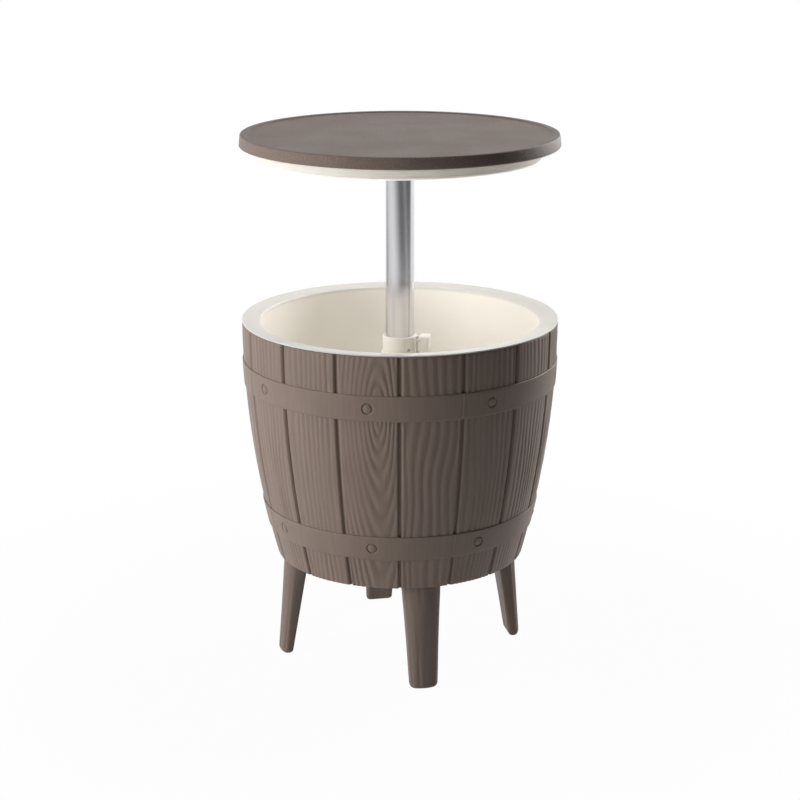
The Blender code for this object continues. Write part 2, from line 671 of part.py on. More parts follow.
def liner_profile():
    """Profile of the liner: rim, outside, floor, tower and neck, then back up its inside."""
    rim_under = RIM_HEIGHT - RIM_EDGE_HEIGHT
    rib_outer = stave_radius(SHELL_TOP) - SHELL_WALL - RIM_RIB_CLEARANCE
    rib_inner = rib_outer - LINER_WALL
    rim = [(BARREL_RADIUS - RIM_CROWN_INSET, RIM_HEIGHT),
           (BARREL_RADIUS - RIM_EDGE_ROUNDING / 2, RIM_HEIGHT - RIM_EDGE_ROUNDING / 3),
           (BARREL_RADIUS, RIM_HEIGHT - RIM_EDGE_ROUNDING),
           (BARREL_RADIUS, rim_under),
           (rib_outer, rim_under),
           (rib_outer, rim_under - RIM_RIB_DEPTH),
           (rib_inner, rim_under - RIM_RIB_DEPTH),
           (rib_inner, rim_surface(rib_inner) - LINER_WALL)]
    mouth_edge = RIM_HEIGHT - RIM_SLOPE_DROP - MOUTH_FILLET
    fillet_top = LINER_FLOOR_HEIGHT + LINER_FLOOR_FILLET
    heights = [mouth_edge, *spread(mouth_edge, fillet_top, LINER_ROW_COUNT), fillet_top]
    floor_under = LINER_FLOOR_HEIGHT - LINER_WALL
    floor_edge = liner_radius(fillet_top) - LINER_FLOOR_FILLET
    outside = [(liner_radius(height) + LINER_WALL, height) for height in heights]
    outside += arc_points(floor_edge, fillet_top, LINER_FLOOR_FILLET + LINER_WALL, -45, -90, 2)
    tower_foot = TOWER_RADIUS + TOWER_DRAFT
    flange_top = TOWER_FLANGE_BOTTOM + TOWER_FLANGE_THICKNESS
    below = [(tower_foot, floor_under),
             (tower_foot, flange_top),
             (TOWER_FLANGE_RADIUS, flange_top),
             (TOWER_FLANGE_RADIUS, TOWER_FLANGE_BOTTOM),
             (TOWER_BORE_RADIUS, TOWER_FLANGE_BOTTOM)]
    tower = [(TOWER_BORE_RADIUS, TOWER_BORE_TOP),
             (TUBE_BORE_RADIUS, TOWER_BORE_TOP),
             (TUBE_BORE_RADIUS, NECK_TOP),
             (NECK_RADIUS, NECK_TOP),
             (NECK_RADIUS, TOWER_SHOULDER_HEIGHT),
             (TOWER_RADIUS, TOWER_SHOULDER_HEIGHT),
             (tower_foot, LINER_FLOOR_HEIGHT + TOWER_FILLET),
             (tower_foot + TOWER_FILLET, LINER_FLOOR_HEIGHT)]
    inside = arc_points(floor_edge, fillet_top, LINER_FLOOR_FILLET, -90, -45, 2)
    inside += [(liner_radius(height), height) for height in reversed(heights)]
    mouth = arc_points(MOUTH_RADIUS + MOUTH_FILLET, mouth_edge, MOUTH_FILLET, 135, 90, 2)
    return rim + outside + below + tower + inside + mouth


def make_liner(shop, white):
    """The white liner with its rim, its floor and the tower that carries the column."""
    liner = shop.turned("liner", liner_profile(), LINER_SIDES, white, ring=True)

    def draw(shape):
        low = TOWER_FLANGE_BOTTOM - OVERRUN
        high = TOWER_FLANGE_BOTTOM + TOWER_FLANGE_THICKNESS + OVERRUN
        draw_screw_ring(shape, LINER_SCREW_CIRCLE_RADIUS, low, high, SCREW_HOLE_RADIUS)
        floor_low = LINER_FLOOR_HEIGHT - LINER_WALL - OVERRUN
        floor_high = LINER_FLOOR_HEIGHT + OVERRUN
        draw_rod(shape, at_angle(DRAIN_CIRCLE_RADIUS, DRAIN_ANGLE, floor_low),
                 at_angle(DRAIN_CIRCLE_RADIUS, DRAIN_ANGLE, floor_high),
                 DRAIN_PIPE_RADIUS + GAP, DRAIN_SIDES)
        for angle in (COLLAR_SCREW_ANGLE, COLLAR_SCREW_ANGLE + 180):
            draw_rod(shape, at_angle(TUBE_RADIUS - OVERRUN, angle, COLLAR_SCREW_LEVEL),
                     at_angle(NECK_RADIUS + OVERRUN, angle, COLLAR_SCREW_LEVEL),
                     SMALL_HOLE_RADIUS, SCREW_SIDES)

    boolean(liner, shop.solid("liner_holes", draw), "DIFFERENCE")
    lever_side = shop.station("neck_notch_station", angle=LEVER_ANGLE)
    notch = shop.solid("neck_notch", draw_neck_notch, parent=lever_side)
    boolean(liner, notch, "DIFFERENCE")


def nose_span(grow):
    """Where the lever's nose lies across the lever, grown on each side."""
    return NOSE_SIDE_SHIFT - NOSE_WIDTH / 2 - grow, NOSE_SIDE_SHIFT + NOSE_WIDTH / 2 + grow


def draw_neck_notch(shape):
    """A notch from the neck's top, which the lever's nose passes through."""
    left, right = nose_span(WINDOW_CLEARANCE)
    nose_bottom = PIN_LEVEL - NOSE_DROP - NOSE_HEIGHT
    draw_box(shape, (TUBE_RADIUS - OVERRUN, left, nose_bottom - WINDOW_DROP),
             (NECK_RADIUS + OVERRUN, right, NECK_TOP + OVERRUN))


def screw_mesh(shop, steel, shank_radius, head_radius, head_height, length):
    """Mesh of a screw whose head lies below its origin and whose shank rises along +Z."""
    shank_end = length - head_height
    profile = [(0, shank_end), (shank_radius, shank_end), (shank_radius, 0),
               (head_radius, 0), (head_radius, -head_height), (0, -head_height)]
    pattern = shop.turned("screw_pattern", profile, SCREW_SIDES, steel)
    mesh = bake(pattern)
    bpy.data.objects.remove(pattern)
    return mesh


def make_upright_screws(shop, name, steel, circle, seat, length, parent=None):
    """A ring of screws that rise from their seat, midway between the legs."""
    mesh = screw_mesh(shop, steel, SCREW_SHANK_RADIUS, SCREW_HEAD_RADIUS, SCREW_HEAD_HEIGHT, length)
    for index in range(SCREWS_PER_RING):
        angle = (index + 1 / 2) * 360 / SCREWS_PER_RING
        shop.copy(f"{name}_{index + 1}", mesh, at_angle(circle, angle, seat), (0, 0, 0), parent)


def make_radial_screws(shop, name, steel, angle, height, head_face, tip, parent=None):
    """Two small screws that face each other across the column, with their heads outermost."""
    mesh = screw_mesh(shop, steel, SMALL_SCREW_SHANK_RADIUS, SMALL_SCREW_HEAD_RADIUS,
                      SMALL_SCREW_HEAD_HEIGHT, head_face - tip)
    for index, side in enumerate((angle, angle + 180)):
        shop.copy(f"{name}_{index + 1}", mesh, at_angle(head_face - SMALL_SCREW_HEAD_HEIGHT, side, height),
                  (0, -math.pi / 2, math.radians(side)), parent)


def draw_radial_holes(shape, angle, height, head_face):
    """Through holes with head recesses for the two small screws."""
    recess = head_face - SMALL_SCREW_HEAD_HEIGHT - GAP
    for side in (angle, angle + 180):
        draw_rod(shape, at_angle(TUBE_RADIUS - OVERRUN, side, height), at_angle(recess, side, height),
                 SMALL_HOLE_RADIUS, SCREW_SIDES)


def draw_radial_recesses(shape, angle, height, head_face):
    """Round recesses for the two small screws' heads."""
    recess = head_face - SMALL_SCREW_HEAD_HEIGHT - GAP
    for side in (angle, angle + 180):
        draw_rod(shape, at_angle(recess, side, height), at_angle(head_face + OVERRUN, side, height),
                 SMALL_HEAD_HOLE_RADIUS, SCREW_SIDES)


def bore_for_screws(shop, item, name, angle, height, head_face):
    """Cut the holes and head recesses of two facing screws."""
    holes = shop.solid(name + "_holes", lambda shape: draw_radial_holes(
        shape, angle, height, head_face + OVERRUN))
    recesses = shop.solid(name + "_recesses", lambda shape: draw_radial_recesses(
        shape, angle, height, head_face))
    boolean(item, holes, "DIFFERENCE")
    boolean(item, recesses, "DIFFERENCE")


def make_column_tube(shop, aluminium, table):
    """The column: a tube with a straight key groove along its whole length."""
    inner = TUBE_RADIUS - TUBE_WALL
    profile = [(TUBE_RADIUS, TUBE_TOP), (TUBE_RADIUS, TUBE_BOTTOM), (inner, TUBE_BOTTOM), (inner, TUBE_TOP)]
    tube = shop.turned("column_tube", profile, TUBE_SIDES, aluminium, table, ring=True)
    turn = Matrix.Rotation(math.radians(KEY_ANGLE), 4, "Z")
    groove = shop.solid("key_groove", lambda shape: draw_box(
        shape, (TUBE_RADIUS - KEY_GROOVE_DEPTH, -KEY_GROOVE_WIDTH / 2, TUBE_BOTTOM - OVERRUN),
        (TUBE_RADIUS + OVERRUN, KEY_GROOVE_WIDTH / 2, TUBE_TOP + OVERRUN), turn))
    boolean(tube, groove, "DIFFERENCE")
    holes = shop.solid("tube_holes", lambda shape: draw_radial_holes(
        shape, FOOT_SCREW_ANGLE, FOOT_SCREW_LEVEL, FOOT_RADIUS + OVERRUN))
    boolean(tube, holes, "DIFFERENCE")


def make_column_foot(shop, white, table):
    """The guide cup on the tube's lower end, which slides in the tower and stops under its neck."""
    floor = FOOT_BOTTOM + FOOT_FLOOR_THICKNESS
    profile = [(0, floor), (TUBE_BORE_RADIUS, floor), (TUBE_BORE_RADIUS, FOOT_TOP),
               (FOOT_RADIUS, FOOT_TOP), (FOOT_RADIUS, FOOT_BOTTOM), (0, FOOT_BOTTOM)]
    foot = shop.turned("column_foot", profile, TUBE_SIDES, white, table)
    bore_for_screws(shop, foot, "foot_screw", FOOT_SCREW_ANGLE, FOOT_SCREW_LEVEL, FOOT_RADIUS)


def make_collar(shop, white, lever_side):
    """The collar on the tower: a guide ring with a key tooth and the lever's bracket."""
    flare_top = COLLAR_BOTTOM + COLLAR_FLARE_HEIGHT
    outer = [(0, COLLAR_TOP), (COLLAR_RADIUS - COLLAR_CHAMFER, COLLAR_TOP),
             (COLLAR_RADIUS, COLLAR_TOP - COLLAR_CHAMFER), (COLLAR_RADIUS, flare_top + COLLAR_FLARE_SLOPE),
             (COLLAR_RADIUS + COLLAR_FLARE, flare_top), (COLLAR_RADIUS + COLLAR_FLARE, COLLAR_BOTTOM),
             (0, COLLAR_BOTTOM)]
    collar = shop.turned("column_collar", outer, TUBE_SIDES, white)
    inside = COLLAR_BORE_RADIUS - OVERRUN / 2
    pad = shop.solid("collar_pad", lambda shape: draw_box(
        shape, (inside, -PAD_WIDTH / 2, PAD_BOTTOM), (PAD_FACE, PAD_WIDTH / 2, PAD_BOTTOM + PAD_HEIGHT)),
        parent=lever_side)
    boolean(collar, pad, "UNION")
    boolean(collar, shop.solid("collar_lugs", draw_lugs, parent=lever_side), "UNION")
    boolean(collar, shop.solid("collar_lug_ends", draw_lug_ends, parent=lever_side), "UNION")
    step = NECK_TOP + GAP
    bore = shop.turned("collar_bore", [
        (0, COLLAR_TOP + OVERRUN), (TUBE_BORE_RADIUS, COLLAR_TOP + OVERRUN), (TUBE_BORE_RADIUS, step),
        (COLLAR_BORE_RADIUS, step), (COLLAR_BORE_RADIUS, COLLAR_BOTTOM - OVERRUN),
        (0, COLLAR_BOTTOM - OVERRUN)], TUBE_SIDES)
    boolean(collar, bore, "DIFFERENCE")
    boolean(collar, shop.solid("collar_window", draw_window, parent=lever_side), "DIFFERENCE")
    boolean(collar, shop.solid("collar_pin_hole", draw_pin_hole, parent=lever_side), "DIFFERENCE")
    bore_for_screws(shop, collar, "collar_screw", COLLAR_SCREW_ANGLE, COLLAR_SCREW_LEVEL, COLLAR_RADIUS)
    tooth_inside = TUBE_RADIUS - KEY_GROOVE_DEPTH + KEY_TOOTH_CLEARANCE
    tooth_side = KEY_GROOVE_WIDTH / 2 - KEY_TOOTH_CLEARANCE
    turn = Matrix.Rotation(math.radians(KEY_ANGLE), 4, "Z")
    tooth = shop.solid("key_tooth", lambda shape: draw_box(
        shape, (tooth_inside, -tooth_side, step + GAP),
        (COLLAR_RADIUS - COLLAR_WALL / 2, tooth_side, COLLAR_TOP - COLLAR_CHAMFER), turn))
    boolean(collar, tooth, "UNION")


def draw_lugs(shape):
    """Two lugs that reach out from the collar to the lever's pin."""
    for side in (-LUG_SPREAD, LUG_SPREAD):
        draw_box(shape, (COLLAR_BORE_RADIUS - OVERRUN / 2, side - LUG_THICKNESS / 2, PIN_LEVEL - LUG_END_RADIUS),
                 (PIN_OUT, side + LUG_THICKNESS / 2, PIN_LEVEL + LUG_END_RADIUS))


def draw_lug_ends(shape):
    """The lugs' round ends, on the pin's axis."""
    for side in (-LUG_SPREAD, LUG_SPREAD):
        draw_rod(shape, (PIN_OUT, side - LUG_THICKNESS / 2, PIN_LEVEL),
                 (PIN_OUT, side + LUG_THICKNESS / 2, PIN_LEVEL), LUG_END_RADIUS, SCREW_SIDES)


def draw_window(shape):
    """The opening in the collar that the lever's nose works through."""
    left, right = nose_span(WINDOW_CLEARANCE)
    nose_top = PIN_LEVEL - NOSE_DROP
    draw_box(shape, (TUBE_RADIUS - OVERRUN, left, nose_top - NOSE_HEIGHT - WINDOW_DROP),
             (PAD_FACE + OVERRUN, right, nose_top + 2 * WINDOW_CLEARANCE))


def draw_pin_hole(shape):
    """The lever pin's hole, longer than the lever is wide."""
    reach = LEVER_WIDTH / 2 + OVERRUN
    draw_rod(shape, (PIN_OUT, -reach, PIN_LEVEL), (PIN_OUT, reach, PIN_LEVEL),
             LEVER_PIN_RADIUS + GAP, SCREW_SIDES)


def make_lock_lever(shop, white, lever_side):
    """The lock lever: a hollow paddle on its pin, with a nose that bears on the column."""
    side = LEVER_WIDTH / 2
    under_top = LEVER_TOP - LEVER_TOP_THICKNESS
    lever = shop.solid("lock_lever", lambda shape: draw_box(
        shape, (LEVER_BACK, -side, LEVER_BOTTOM), (LEVER_FRONT, side, LEVER_TOP)), white, lever_side)
    bevel(lever, LEVER_ROUNDING, 1)
    hollow = shop.solid("lever_hollow", lambda shape: draw_box(
        shape, (LEVER_BACK - OVERRUN, LEVER_WALL - side, LEVER_BOTTOM - OVERRUN),
        (LEVER_FRONT - LEVER_WALL, side - LEVER_WALL, under_top)), parent=lever_side)
    boolean(lever, hollow, "DIFFERENCE")
    back = shop.solid("lever_back_cut", lambda shape: draw_box(
        shape, (LEVER_BACK - OVERRUN, -side - OVERRUN, under_top - LEVER_TOP_THICKNESS / 2),
        (PAD_FACE + LEVER_TOP_BACK_CLEARANCE, side + OVERRUN, LEVER_TOP + OVERRUN)), parent=lever_side)
    boolean(lever, back, "DIFFERENCE")
    left, right = nose_span(0)
    nose_top = PIN_LEVEL - NOSE_DROP
    nose_bottom = nose_top - NOSE_HEIGHT
    web = shop.solid("lever_web", lambda shape: draw_box(
        shape, (PIN_OUT - WEB_BACK_REACH, left, nose_bottom),
        (PIN_OUT + WEB_REACH, right, under_top + LEVER_TOP_THICKNESS / 2)), parent=lever_side)
    boolean(lever, web, "UNION")
    nose = shop.solid("lever_nose", lambda shape: draw_box(
        shape, (TUBE_RADIUS + NOSE_CLEARANCE, left, nose_bottom), (PIN_OUT, right, nose_top)),
        parent=lever_side)
    boolean(lever, nose, "UNION")
    boolean(lever, shop.solid("lever_pin_hole", draw_pin_hole, parent=lever_side), "DIFFERENCE")
    bake(lever)
    lever.data.materials.clear()
    lever.data.materials.append(white)
    move_origin(lever, (PIN_OUT, 0, PIN_LEVEL))


def make_lever_pin(shop, steel, lever_side):
    """The lever's pin, with a head outside the lever's wall."""
    end = LEVER_WIDTH / 2 + GAP
    profile = [(0, end + LEVER_PIN_HEAD_THICKNESS), (LEVER_PIN_HEAD_RADIUS, end + LEVER_PIN_HEAD_THICKNESS),
               (LEVER_PIN_HEAD_RADIUS, end), (LEVER_PIN_RADIUS, end), (LEVER_PIN_RADIUS, -end), (0, -end)]
    pin = shop.turned("lever_pin", profile, SCREW_SIDES, steel, lever_side)
    pin.location = (PIN_OUT, 0, PIN_LEVEL)
    pin.rotation_euler = (-math.pi / 2, 0, 0)


def spring_points():
    """Centre line of the lever's spring: a leg on the collar, the coil round the pin, and a hook.

    The upper leg bears on the collar. The hook crosses the web's outer face below the pin, so the
    coil pulls the lever's nose in to the column.
    """
    inner = -(LEVER_PIN_REACH - SPRING_WIRE_RADIUS - GAP)
    points = [Vector((inner, SPRING_START, SPRING_COIL_RADIUS))]
    count = SPRING_TURNS * SPRING_POINTS_PER_TURN + SPRING_POINTS_PER_TURN // 4
    for index in range(count + 1):
        turn = index / SPRING_POINTS_PER_TURN
        angle = math.pi / 2 - 2 * math.pi * turn
        points.append(Vector((SPRING_COIL_RADIUS * math.cos(angle), SPRING_START + SPRING_PITCH * turn,
                              SPRING_COIL_RADIUS * math.sin(angle))))
    hook = WEB_REACH + SPRING_WIRE_RADIUS + GAP
    points.append(Vector((hook, points[-1].y, -SPRING_HOOK_DROP)))
    points.append(Vector((hook, NOSE_SIDE_SHIFT, -SPRING_HOOK_DROP)))
    return points


def least_gap(points, wire_radius):
    """Least gap between a coil's turns, measured between points most of a turn apart."""
    reach = SPRING_POINTS_PER_TURN // 2
    distances = [(first - second).length for index, first in enumerate(points)
                 for second in points[index + reach:]]
    return min(distances) - 2 * wire_radius


def make_lever_spring(shop, steel, lever_side):
    """The torsion spring round the pin, one unbroken wire."""
    points = spring_points()
    curve = bpy.data.curves.new("lever_spring", "CURVE")
    curve.dimensions = "3D"
    curve.bevel_depth = SPRING_WIRE_RADIUS
    curve.bevel_resolution = 1
    curve.use_fill_caps = True
    spline = curve.splines.new("POLY")
    spline.points.add(len(points) - 1)
    for slot, point in zip(spline.points, points):
        slot.co = point.to_4d()
    curve.materials.append(steel)
    spring = bpy.data.objects.new("lever_spring", curve)
    shop.parts.objects.link(spring)
    spring.parent = lever_side
    spring.location = (PIN_OUT, 0, PIN_LEVEL)
    weld = spring.modifiers.new("close_caps", "WELD")
    weld.merge_threshold = MERGE
    print(f"least gap in the spring: {least_gap(points, SPRING_WIRE_RADIUS):.5f} m")


def make_table_top(shop, taupe, table):
    """The table: a tray with a low rim, a skirt and four bosses under it."""
    top_radius = TABLE_RADIUS - SKIRT_DRAFT
    tray_radius = top_radius - TRAY_RIM_WIDTH
    tray_level = OPEN_HEIGHT - TRAY_DEPTH
    profile = [(0, tray_level), (tray_radius - TRAY_SLOPE, tray_level), (tray_radius, OPEN_HEIGHT),
               (top_radius - TABLE_EDGE_ROUNDING, OPEN_HEIGHT), (top_radius, OPEN_HEIGHT - TABLE_EDGE_ROUNDING),
               (TABLE_RADIUS, SKIRT_BOTTOM + SKIRT_LOWER_ROUNDING),
               (TABLE_RADIUS - SKIRT_LOWER_ROUNDING, SKIRT_BOTTOM),
               (TABLE_RADIUS - SKIRT_WALL, SKIRT_BOTTOM), (top_radius - SKIRT_WALL, TABLE_UNDERSIDE),
               (0, TABLE_UNDERSIDE)]
    top = shop.turned("table_top", profile, TABLE_SIDES, taupe, table)

    def draw_bosses(shape):
        for index in range(SCREWS_PER_RING):
            angle = (index + 1 / 2) * 360 / SCREWS_PER_RING
            draw_rod(shape, at_angle(FLANGE_SCREW_CIRCLE_RADIUS, angle, BOSS_BOTTOM),
                     at_angle(FLANGE_SCREW_CIRCLE_RADIUS, angle, TABLE_UNDERSIDE + TABLE_SKIN / 2),
                     BOSS_RADIUS, SCREW_SIDES)

    boolean(top, shop.solid("table_bosses", draw_bosses), "UNION")
    pilots = shop.solid("boss_pilots", lambda shape: draw_screw_ring(
        shape, FLANGE_SCREW_CIRCLE_RADIUS, BOSS_BOTTOM - OVERRUN, TABLE_UNDERSIDE, SCREW_HOLE_RADIUS))
    boolean(top, pilots, "DIFFERENCE")


def make_lid_cover(shop, white, table):
    """The white underside of the table, whose plug drops into the liner's mouth."""
    plug = MOUTH_RADIUS - COVER_PLUG_CLEARANCE
    inner = plug - COVER_WALL
    hole = TUBE_RADIUS + COVER_HOLE_CLEARANCE
    floor = COVER_BOTTOM + COVER_WALL
    rib_outer = TABLE_RADIUS - SKIRT_WALL - COVER_RIB_CLEARANCE - SKIRT_DRAFT / 2
    rib_inner = rib_outer - COVER_RIB_THICKNESS
    profile = [(rib_outer, COVER_TOP + COVER_RIB_HEIGHT), (rib_outer, COVER_TOP),
               (TABLE_RADIUS - COVER_FLANGE_INSET, COVER_TOP),
               (TABLE_RADIUS - COVER_FLANGE_INSET, COVER_FLANGE_BOTTOM),
               (plug + COVER_PLUG_FLARE, COVER_FLANGE_BOTTOM),
               (plug, COVER_FLANGE_BOTTOM - COVER_PLUG_FLARE)]
    profile += arc_points(plug - COVER_PLUG_ROUNDING, COVER_BOTTOM + COVER_PLUG_ROUNDING,
                          COVER_PLUG_ROUNDING, 0, -90, 3)
    profile += [(hole, COVER_BOTTOM), (hole, floor),
                (inner - COVER_PLUG_ROUNDING / 2, floor), (inner, floor + COVER_PLUG_ROUNDING / 2),
                (inner, COVER_TOP), (rib_inner, COVER_TOP), (rib_inner, COVER_TOP + COVER_RIB_HEIGHT)]
    shop.turned("lid_cover", profile, COVER_SIDES, white, table, ring=True)


def make_column_flange(shop, white, table):
    """The flange that holds the tube's upper end, screwed up to the table's bosses."""
    outer = TUBE_BORE_RADIUS + FLANGE_SOCKET_WALL
    mouth = COVER_BOTTOM + COVER_WALL + GAP
    profile = [(0, FLANGE_TOP), (FLANGE_RADIUS, FLANGE_TOP), (FLANGE_RADIUS, FLANGE_BOTTOM),
               (outer, FLANGE_BOTTOM), (outer, mouth), (TUBE_BORE_RADIUS, mouth),
               (TUBE_BORE_RADIUS, FLANGE_SOCKET_TOP), (0, FLANGE_SOCKET_TOP)]
    flange = shop.turned("column_flange", profile, TUBE_SIDES, white, table)
    holes = shop.solid("flange_holes", lambda shape: draw_screw_ring(
        shape, FLANGE_SCREW_CIRCLE_RADIUS, FLANGE_BOTTOM - OVERRUN, FLANGE_TOP + OVERRUN, SCREW_HOLE_RADIUS))
    boolean(flange, holes, "DIFFERENCE")


def make_drain(shop, white, steel, rubber):
    """The drain: a flanged pipe through both floors, its washer and nut, and a push-in plug."""
    drain = shop.station("drain", at_angle(DRAIN_CIRCLE_RADIUS, DRAIN_ANGLE, 0))
    washer_bottom = LINER_FLOOR_HEIGHT + GAP
    washer_top = washer_bottom + DRAIN_WASHER_THICKNESS
    flange_bottom = washer_top + GAP
    flange_top = flange_bottom + DRAIN_FLANGE_THICKNESS
    pipe_hole = DRAIN_PIPE_RADIUS + GAP
    shop.turned("drain_fitting", [
        (DRAIN_FLANGE_RADIUS, flange_top), (DRAIN_FLANGE_RADIUS, flange_bottom),
        (DRAIN_PIPE_RADIUS, flange_bottom), (DRAIN_PIPE_RADIUS, DRAIN_PIPE_BOTTOM),
        (DRAIN_BORE_RADIUS, DRAIN_PIPE_BOTTOM), (DRAIN_BORE_RADIUS, flange_top)],
        DRAIN_SIDES, white, drain, ring=True)
    shop.turned("drain_washer", [
        (DRAIN_FLANGE_RADIUS, washer_top), (DRAIN_FLANGE_RADIUS, washer_bottom),
        (pipe_hole, washer_bottom), (pipe_hole, washer_top)], DRAIN_SIDES, rubber, drain, ring=True)
    nut_top = SHELL_FLOOR_UNDERSIDE - GAP
    nut_bottom = nut_top - DRAIN_NUT_THICKNESS
    nut = shop.solid("drain_nut", lambda shape: draw_rod(
        shape, (0, 0, nut_bottom), (0, 0, nut_top), DRAIN_NUT_RADIUS, NUT_SIDES), white, drain)
    bore = shop.solid("nut_bore", lambda shape: draw_rod(
        shape, (0, 0, nut_bottom - OVERRUN), (0, 0, nut_top + OVERRUN), pipe_hole, DRAIN_SIDES), parent=drain)
    boolean(nut, bore, "DIFFERENCE")
    stem = DRAIN_BORE_RADIUS - GAP
    seat = -GAP
    plug = shop.turned("drain_plug", [
        (0, DRAIN_PLUG_STEM_LENGTH), (stem, DRAIN_PLUG_STEM_LENGTH), (stem, seat),
        (DRAIN_PLUG_HEAD_RADIUS, seat), (DRAIN_PLUG_HEAD_RADIUS, seat - DRAIN_PLUG_HEAD_THICKNESS),
        (0, seat - DRAIN_PLUG_HEAD_THICKNESS)], DRAIN_SIDES, rubber, drain)
    plug.location = (0, 0, DRAIN_PIPE_BOTTOM)
    tab_top = DRAIN_PIPE_BOTTOM + seat - DRAIN_PLUG_HEAD_THICKNESS / 2
    tab = shop.solid("plug_tab", lambda shape: draw_box(
        shape, (-DRAIN_PLUG_TAB_WIDTH / 2, -DRAIN_PLUG_TAB_THICKNESS / 2, tab_top - DRAIN_PLUG_TAB_LENGTH),
        (DRAIN_PLUG_TAB_WIDTH / 2, DRAIN_PLUG_TAB_THICKNESS / 2, tab_top)), parent=drain)
    boolean(plug, tab, "UNION")


def shade_parts(shop):
    """Shade the parts smooth, with their edges left sharp where the surface turns more."""
    group = bpy.data.node_groups.new("shade_by_angle", "GeometryNodeTree")
    group.interface.new_socket("Mesh", in_out="INPUT", socket_type="NodeSocketGeometry")
    group.interface.new_socket("Mesh", in_out="OUTPUT", socket_type="NodeSocketGeometry")
    source = group.nodes.new("NodeGroupInput")
    faces = group.nodes.new("GeometryNodeSetShadeSmooth")
    turn = group.nodes.new("GeometryNodeInputMeshEdgeAngle")
    gentle = group.nodes.new("FunctionNodeCompare")
    gentle.operation = "LESS_THAN"
    gentle.inputs["B"].default_value = math.radians(SHARP_ANGLE)
    edges = group.nodes.new("GeometryNodeSetShadeSmooth")
    edges.domain = "EDGE"
    result = group.nodes.new("NodeGroupOutput")
    group.links.new(source.outputs["Mesh"], faces.inputs["Geometry"])
    group.links.new(faces.outputs["Geometry"], edges.inputs["Geometry"])
    group.links.new(turn.outputs["Unsigned Angle"], gentle.inputs["A"])
    group.links.new(gentle.outputs["Result"], edges.inputs["Shade Smooth"])
    group.links.new(edges.outputs["Geometry"], result.inputs["Mesh"])
    for item in shop.parts.objects:
        if item.type == "MESH":
            item.modifiers.new("shade_by_angle", "NODES").node_group = group


def build_cooler():
    """Make every piece of the cooler."""
    clear_scene()
    shop = Workshop()
    taupe = finish("taupe_plastic", TAUPE, 0.55)
    rim_white = finish("rim_white_plastic", RIM_WHITE, 0.35)
    white = finish("white_plastic", CREAM_WHITE, 0.40)
    aluminium = finish("brushed_aluminium", ALUMINIUM, 0.30, 1.0)
    steel = finish("bright_steel", STEEL, 0.35, 1.0)
    rubber = finish("grey_rubber", RUBBER_GREY, 0.80)
    table = shop.station("table_lift")
    lever_side = shop.station("lever_side", angle=LEVER_ANGLE)
    make_barrel_shell(shop, taupe)
    make_legs(shop, taupe)
    make_liner(shop, rim_white)
    make_upright_screws(shop, "liner_screw", steel, LINER_SCREW_CIRCLE_RADIUS,
                        SHELL_FLOOR_UNDERSIDE - GAP, LINER_SCREW_LENGTH)
    make_drain(shop, white, steel, rubber)
    make_collar(shop, white, lever_side)
    make_radial_screws(shop, "collar_screw", steel, COLLAR_SCREW_ANGLE, COLLAR_SCREW_LEVEL,
                       COLLAR_RADIUS, TUBE_BORE_RADIUS + SMALL_SCREW_END_CLEARANCE)
    make_lock_lever(shop, white, lever_side)
    make_lever_pin(shop, steel, lever_side)
    make_lever_spring(shop, steel, lever_side)
    make_table_top(shop, taupe, table)
    make_lid_cover(shop, rim_white, table)
    make_column_flange(shop, white, table)
    make_upright_screws(shop, "flange_screw", steel, FLANGE_SCREW_CIRCLE_RADIUS,
                        FLANGE_BOTTOM - GAP, FLANGE_SCREW_LENGTH, table)
    make_column_tube(shop, aluminium, table)
    make_column_foot(shop, white, table)
    make_radial_screws(shop, "foot_screw", steel, FOOT_SCREW_ANGLE, FOOT_SCREW_LEVEL,
                       FOOT_RADIUS, TUBE_RADIUS - TUBE_WALL, table)
    shade_parts(shop)


build_cooler()
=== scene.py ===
"""Looks of a barrel-shaped drinks cooler whose table rises on a centre column.

Lengths are in metres and angles in degrees. +Z is up and the front leg stands at -Y. An angle
around the column is counted from +X towards +Y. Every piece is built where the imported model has
it, so nothing is placed by eye.
"""

import json
import logging
import math
from dataclasses import dataclass
from enum import Enum
from typing import Any, Sequence

import bmesh
import bpy
import numpy as np
from mathutils import Matrix, Vector

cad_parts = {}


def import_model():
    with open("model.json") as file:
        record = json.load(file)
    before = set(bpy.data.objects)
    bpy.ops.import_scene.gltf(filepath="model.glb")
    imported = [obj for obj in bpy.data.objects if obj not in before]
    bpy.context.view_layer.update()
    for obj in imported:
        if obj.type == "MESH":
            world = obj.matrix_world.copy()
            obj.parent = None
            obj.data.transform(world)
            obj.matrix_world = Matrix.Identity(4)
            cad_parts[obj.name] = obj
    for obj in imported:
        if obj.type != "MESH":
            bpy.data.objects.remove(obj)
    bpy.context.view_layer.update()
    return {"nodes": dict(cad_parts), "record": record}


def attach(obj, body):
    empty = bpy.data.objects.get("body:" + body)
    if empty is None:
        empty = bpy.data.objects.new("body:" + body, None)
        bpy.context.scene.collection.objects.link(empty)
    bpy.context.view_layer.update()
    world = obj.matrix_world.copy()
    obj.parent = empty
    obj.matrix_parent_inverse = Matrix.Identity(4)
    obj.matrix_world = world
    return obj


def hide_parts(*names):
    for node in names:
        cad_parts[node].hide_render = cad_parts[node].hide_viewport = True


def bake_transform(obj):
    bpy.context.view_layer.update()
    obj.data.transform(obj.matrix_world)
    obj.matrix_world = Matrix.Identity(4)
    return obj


LOG = logging.getLogger("cooler")
MERGE = 1e-6
STAVE_COUNT = 16
STAVE_ANGLE = 360.0 / STAVE_COUNT
DRAIN_CIRCLE = 0.11395
DRAIN_ANGLE = 45.0
DRAIN_HOLE = 0.0108
KEY_ANGLE = -63.25
SCREW_CIRCLE = 0.0405
COLLAR_SCREW_ANGLE = -70.85
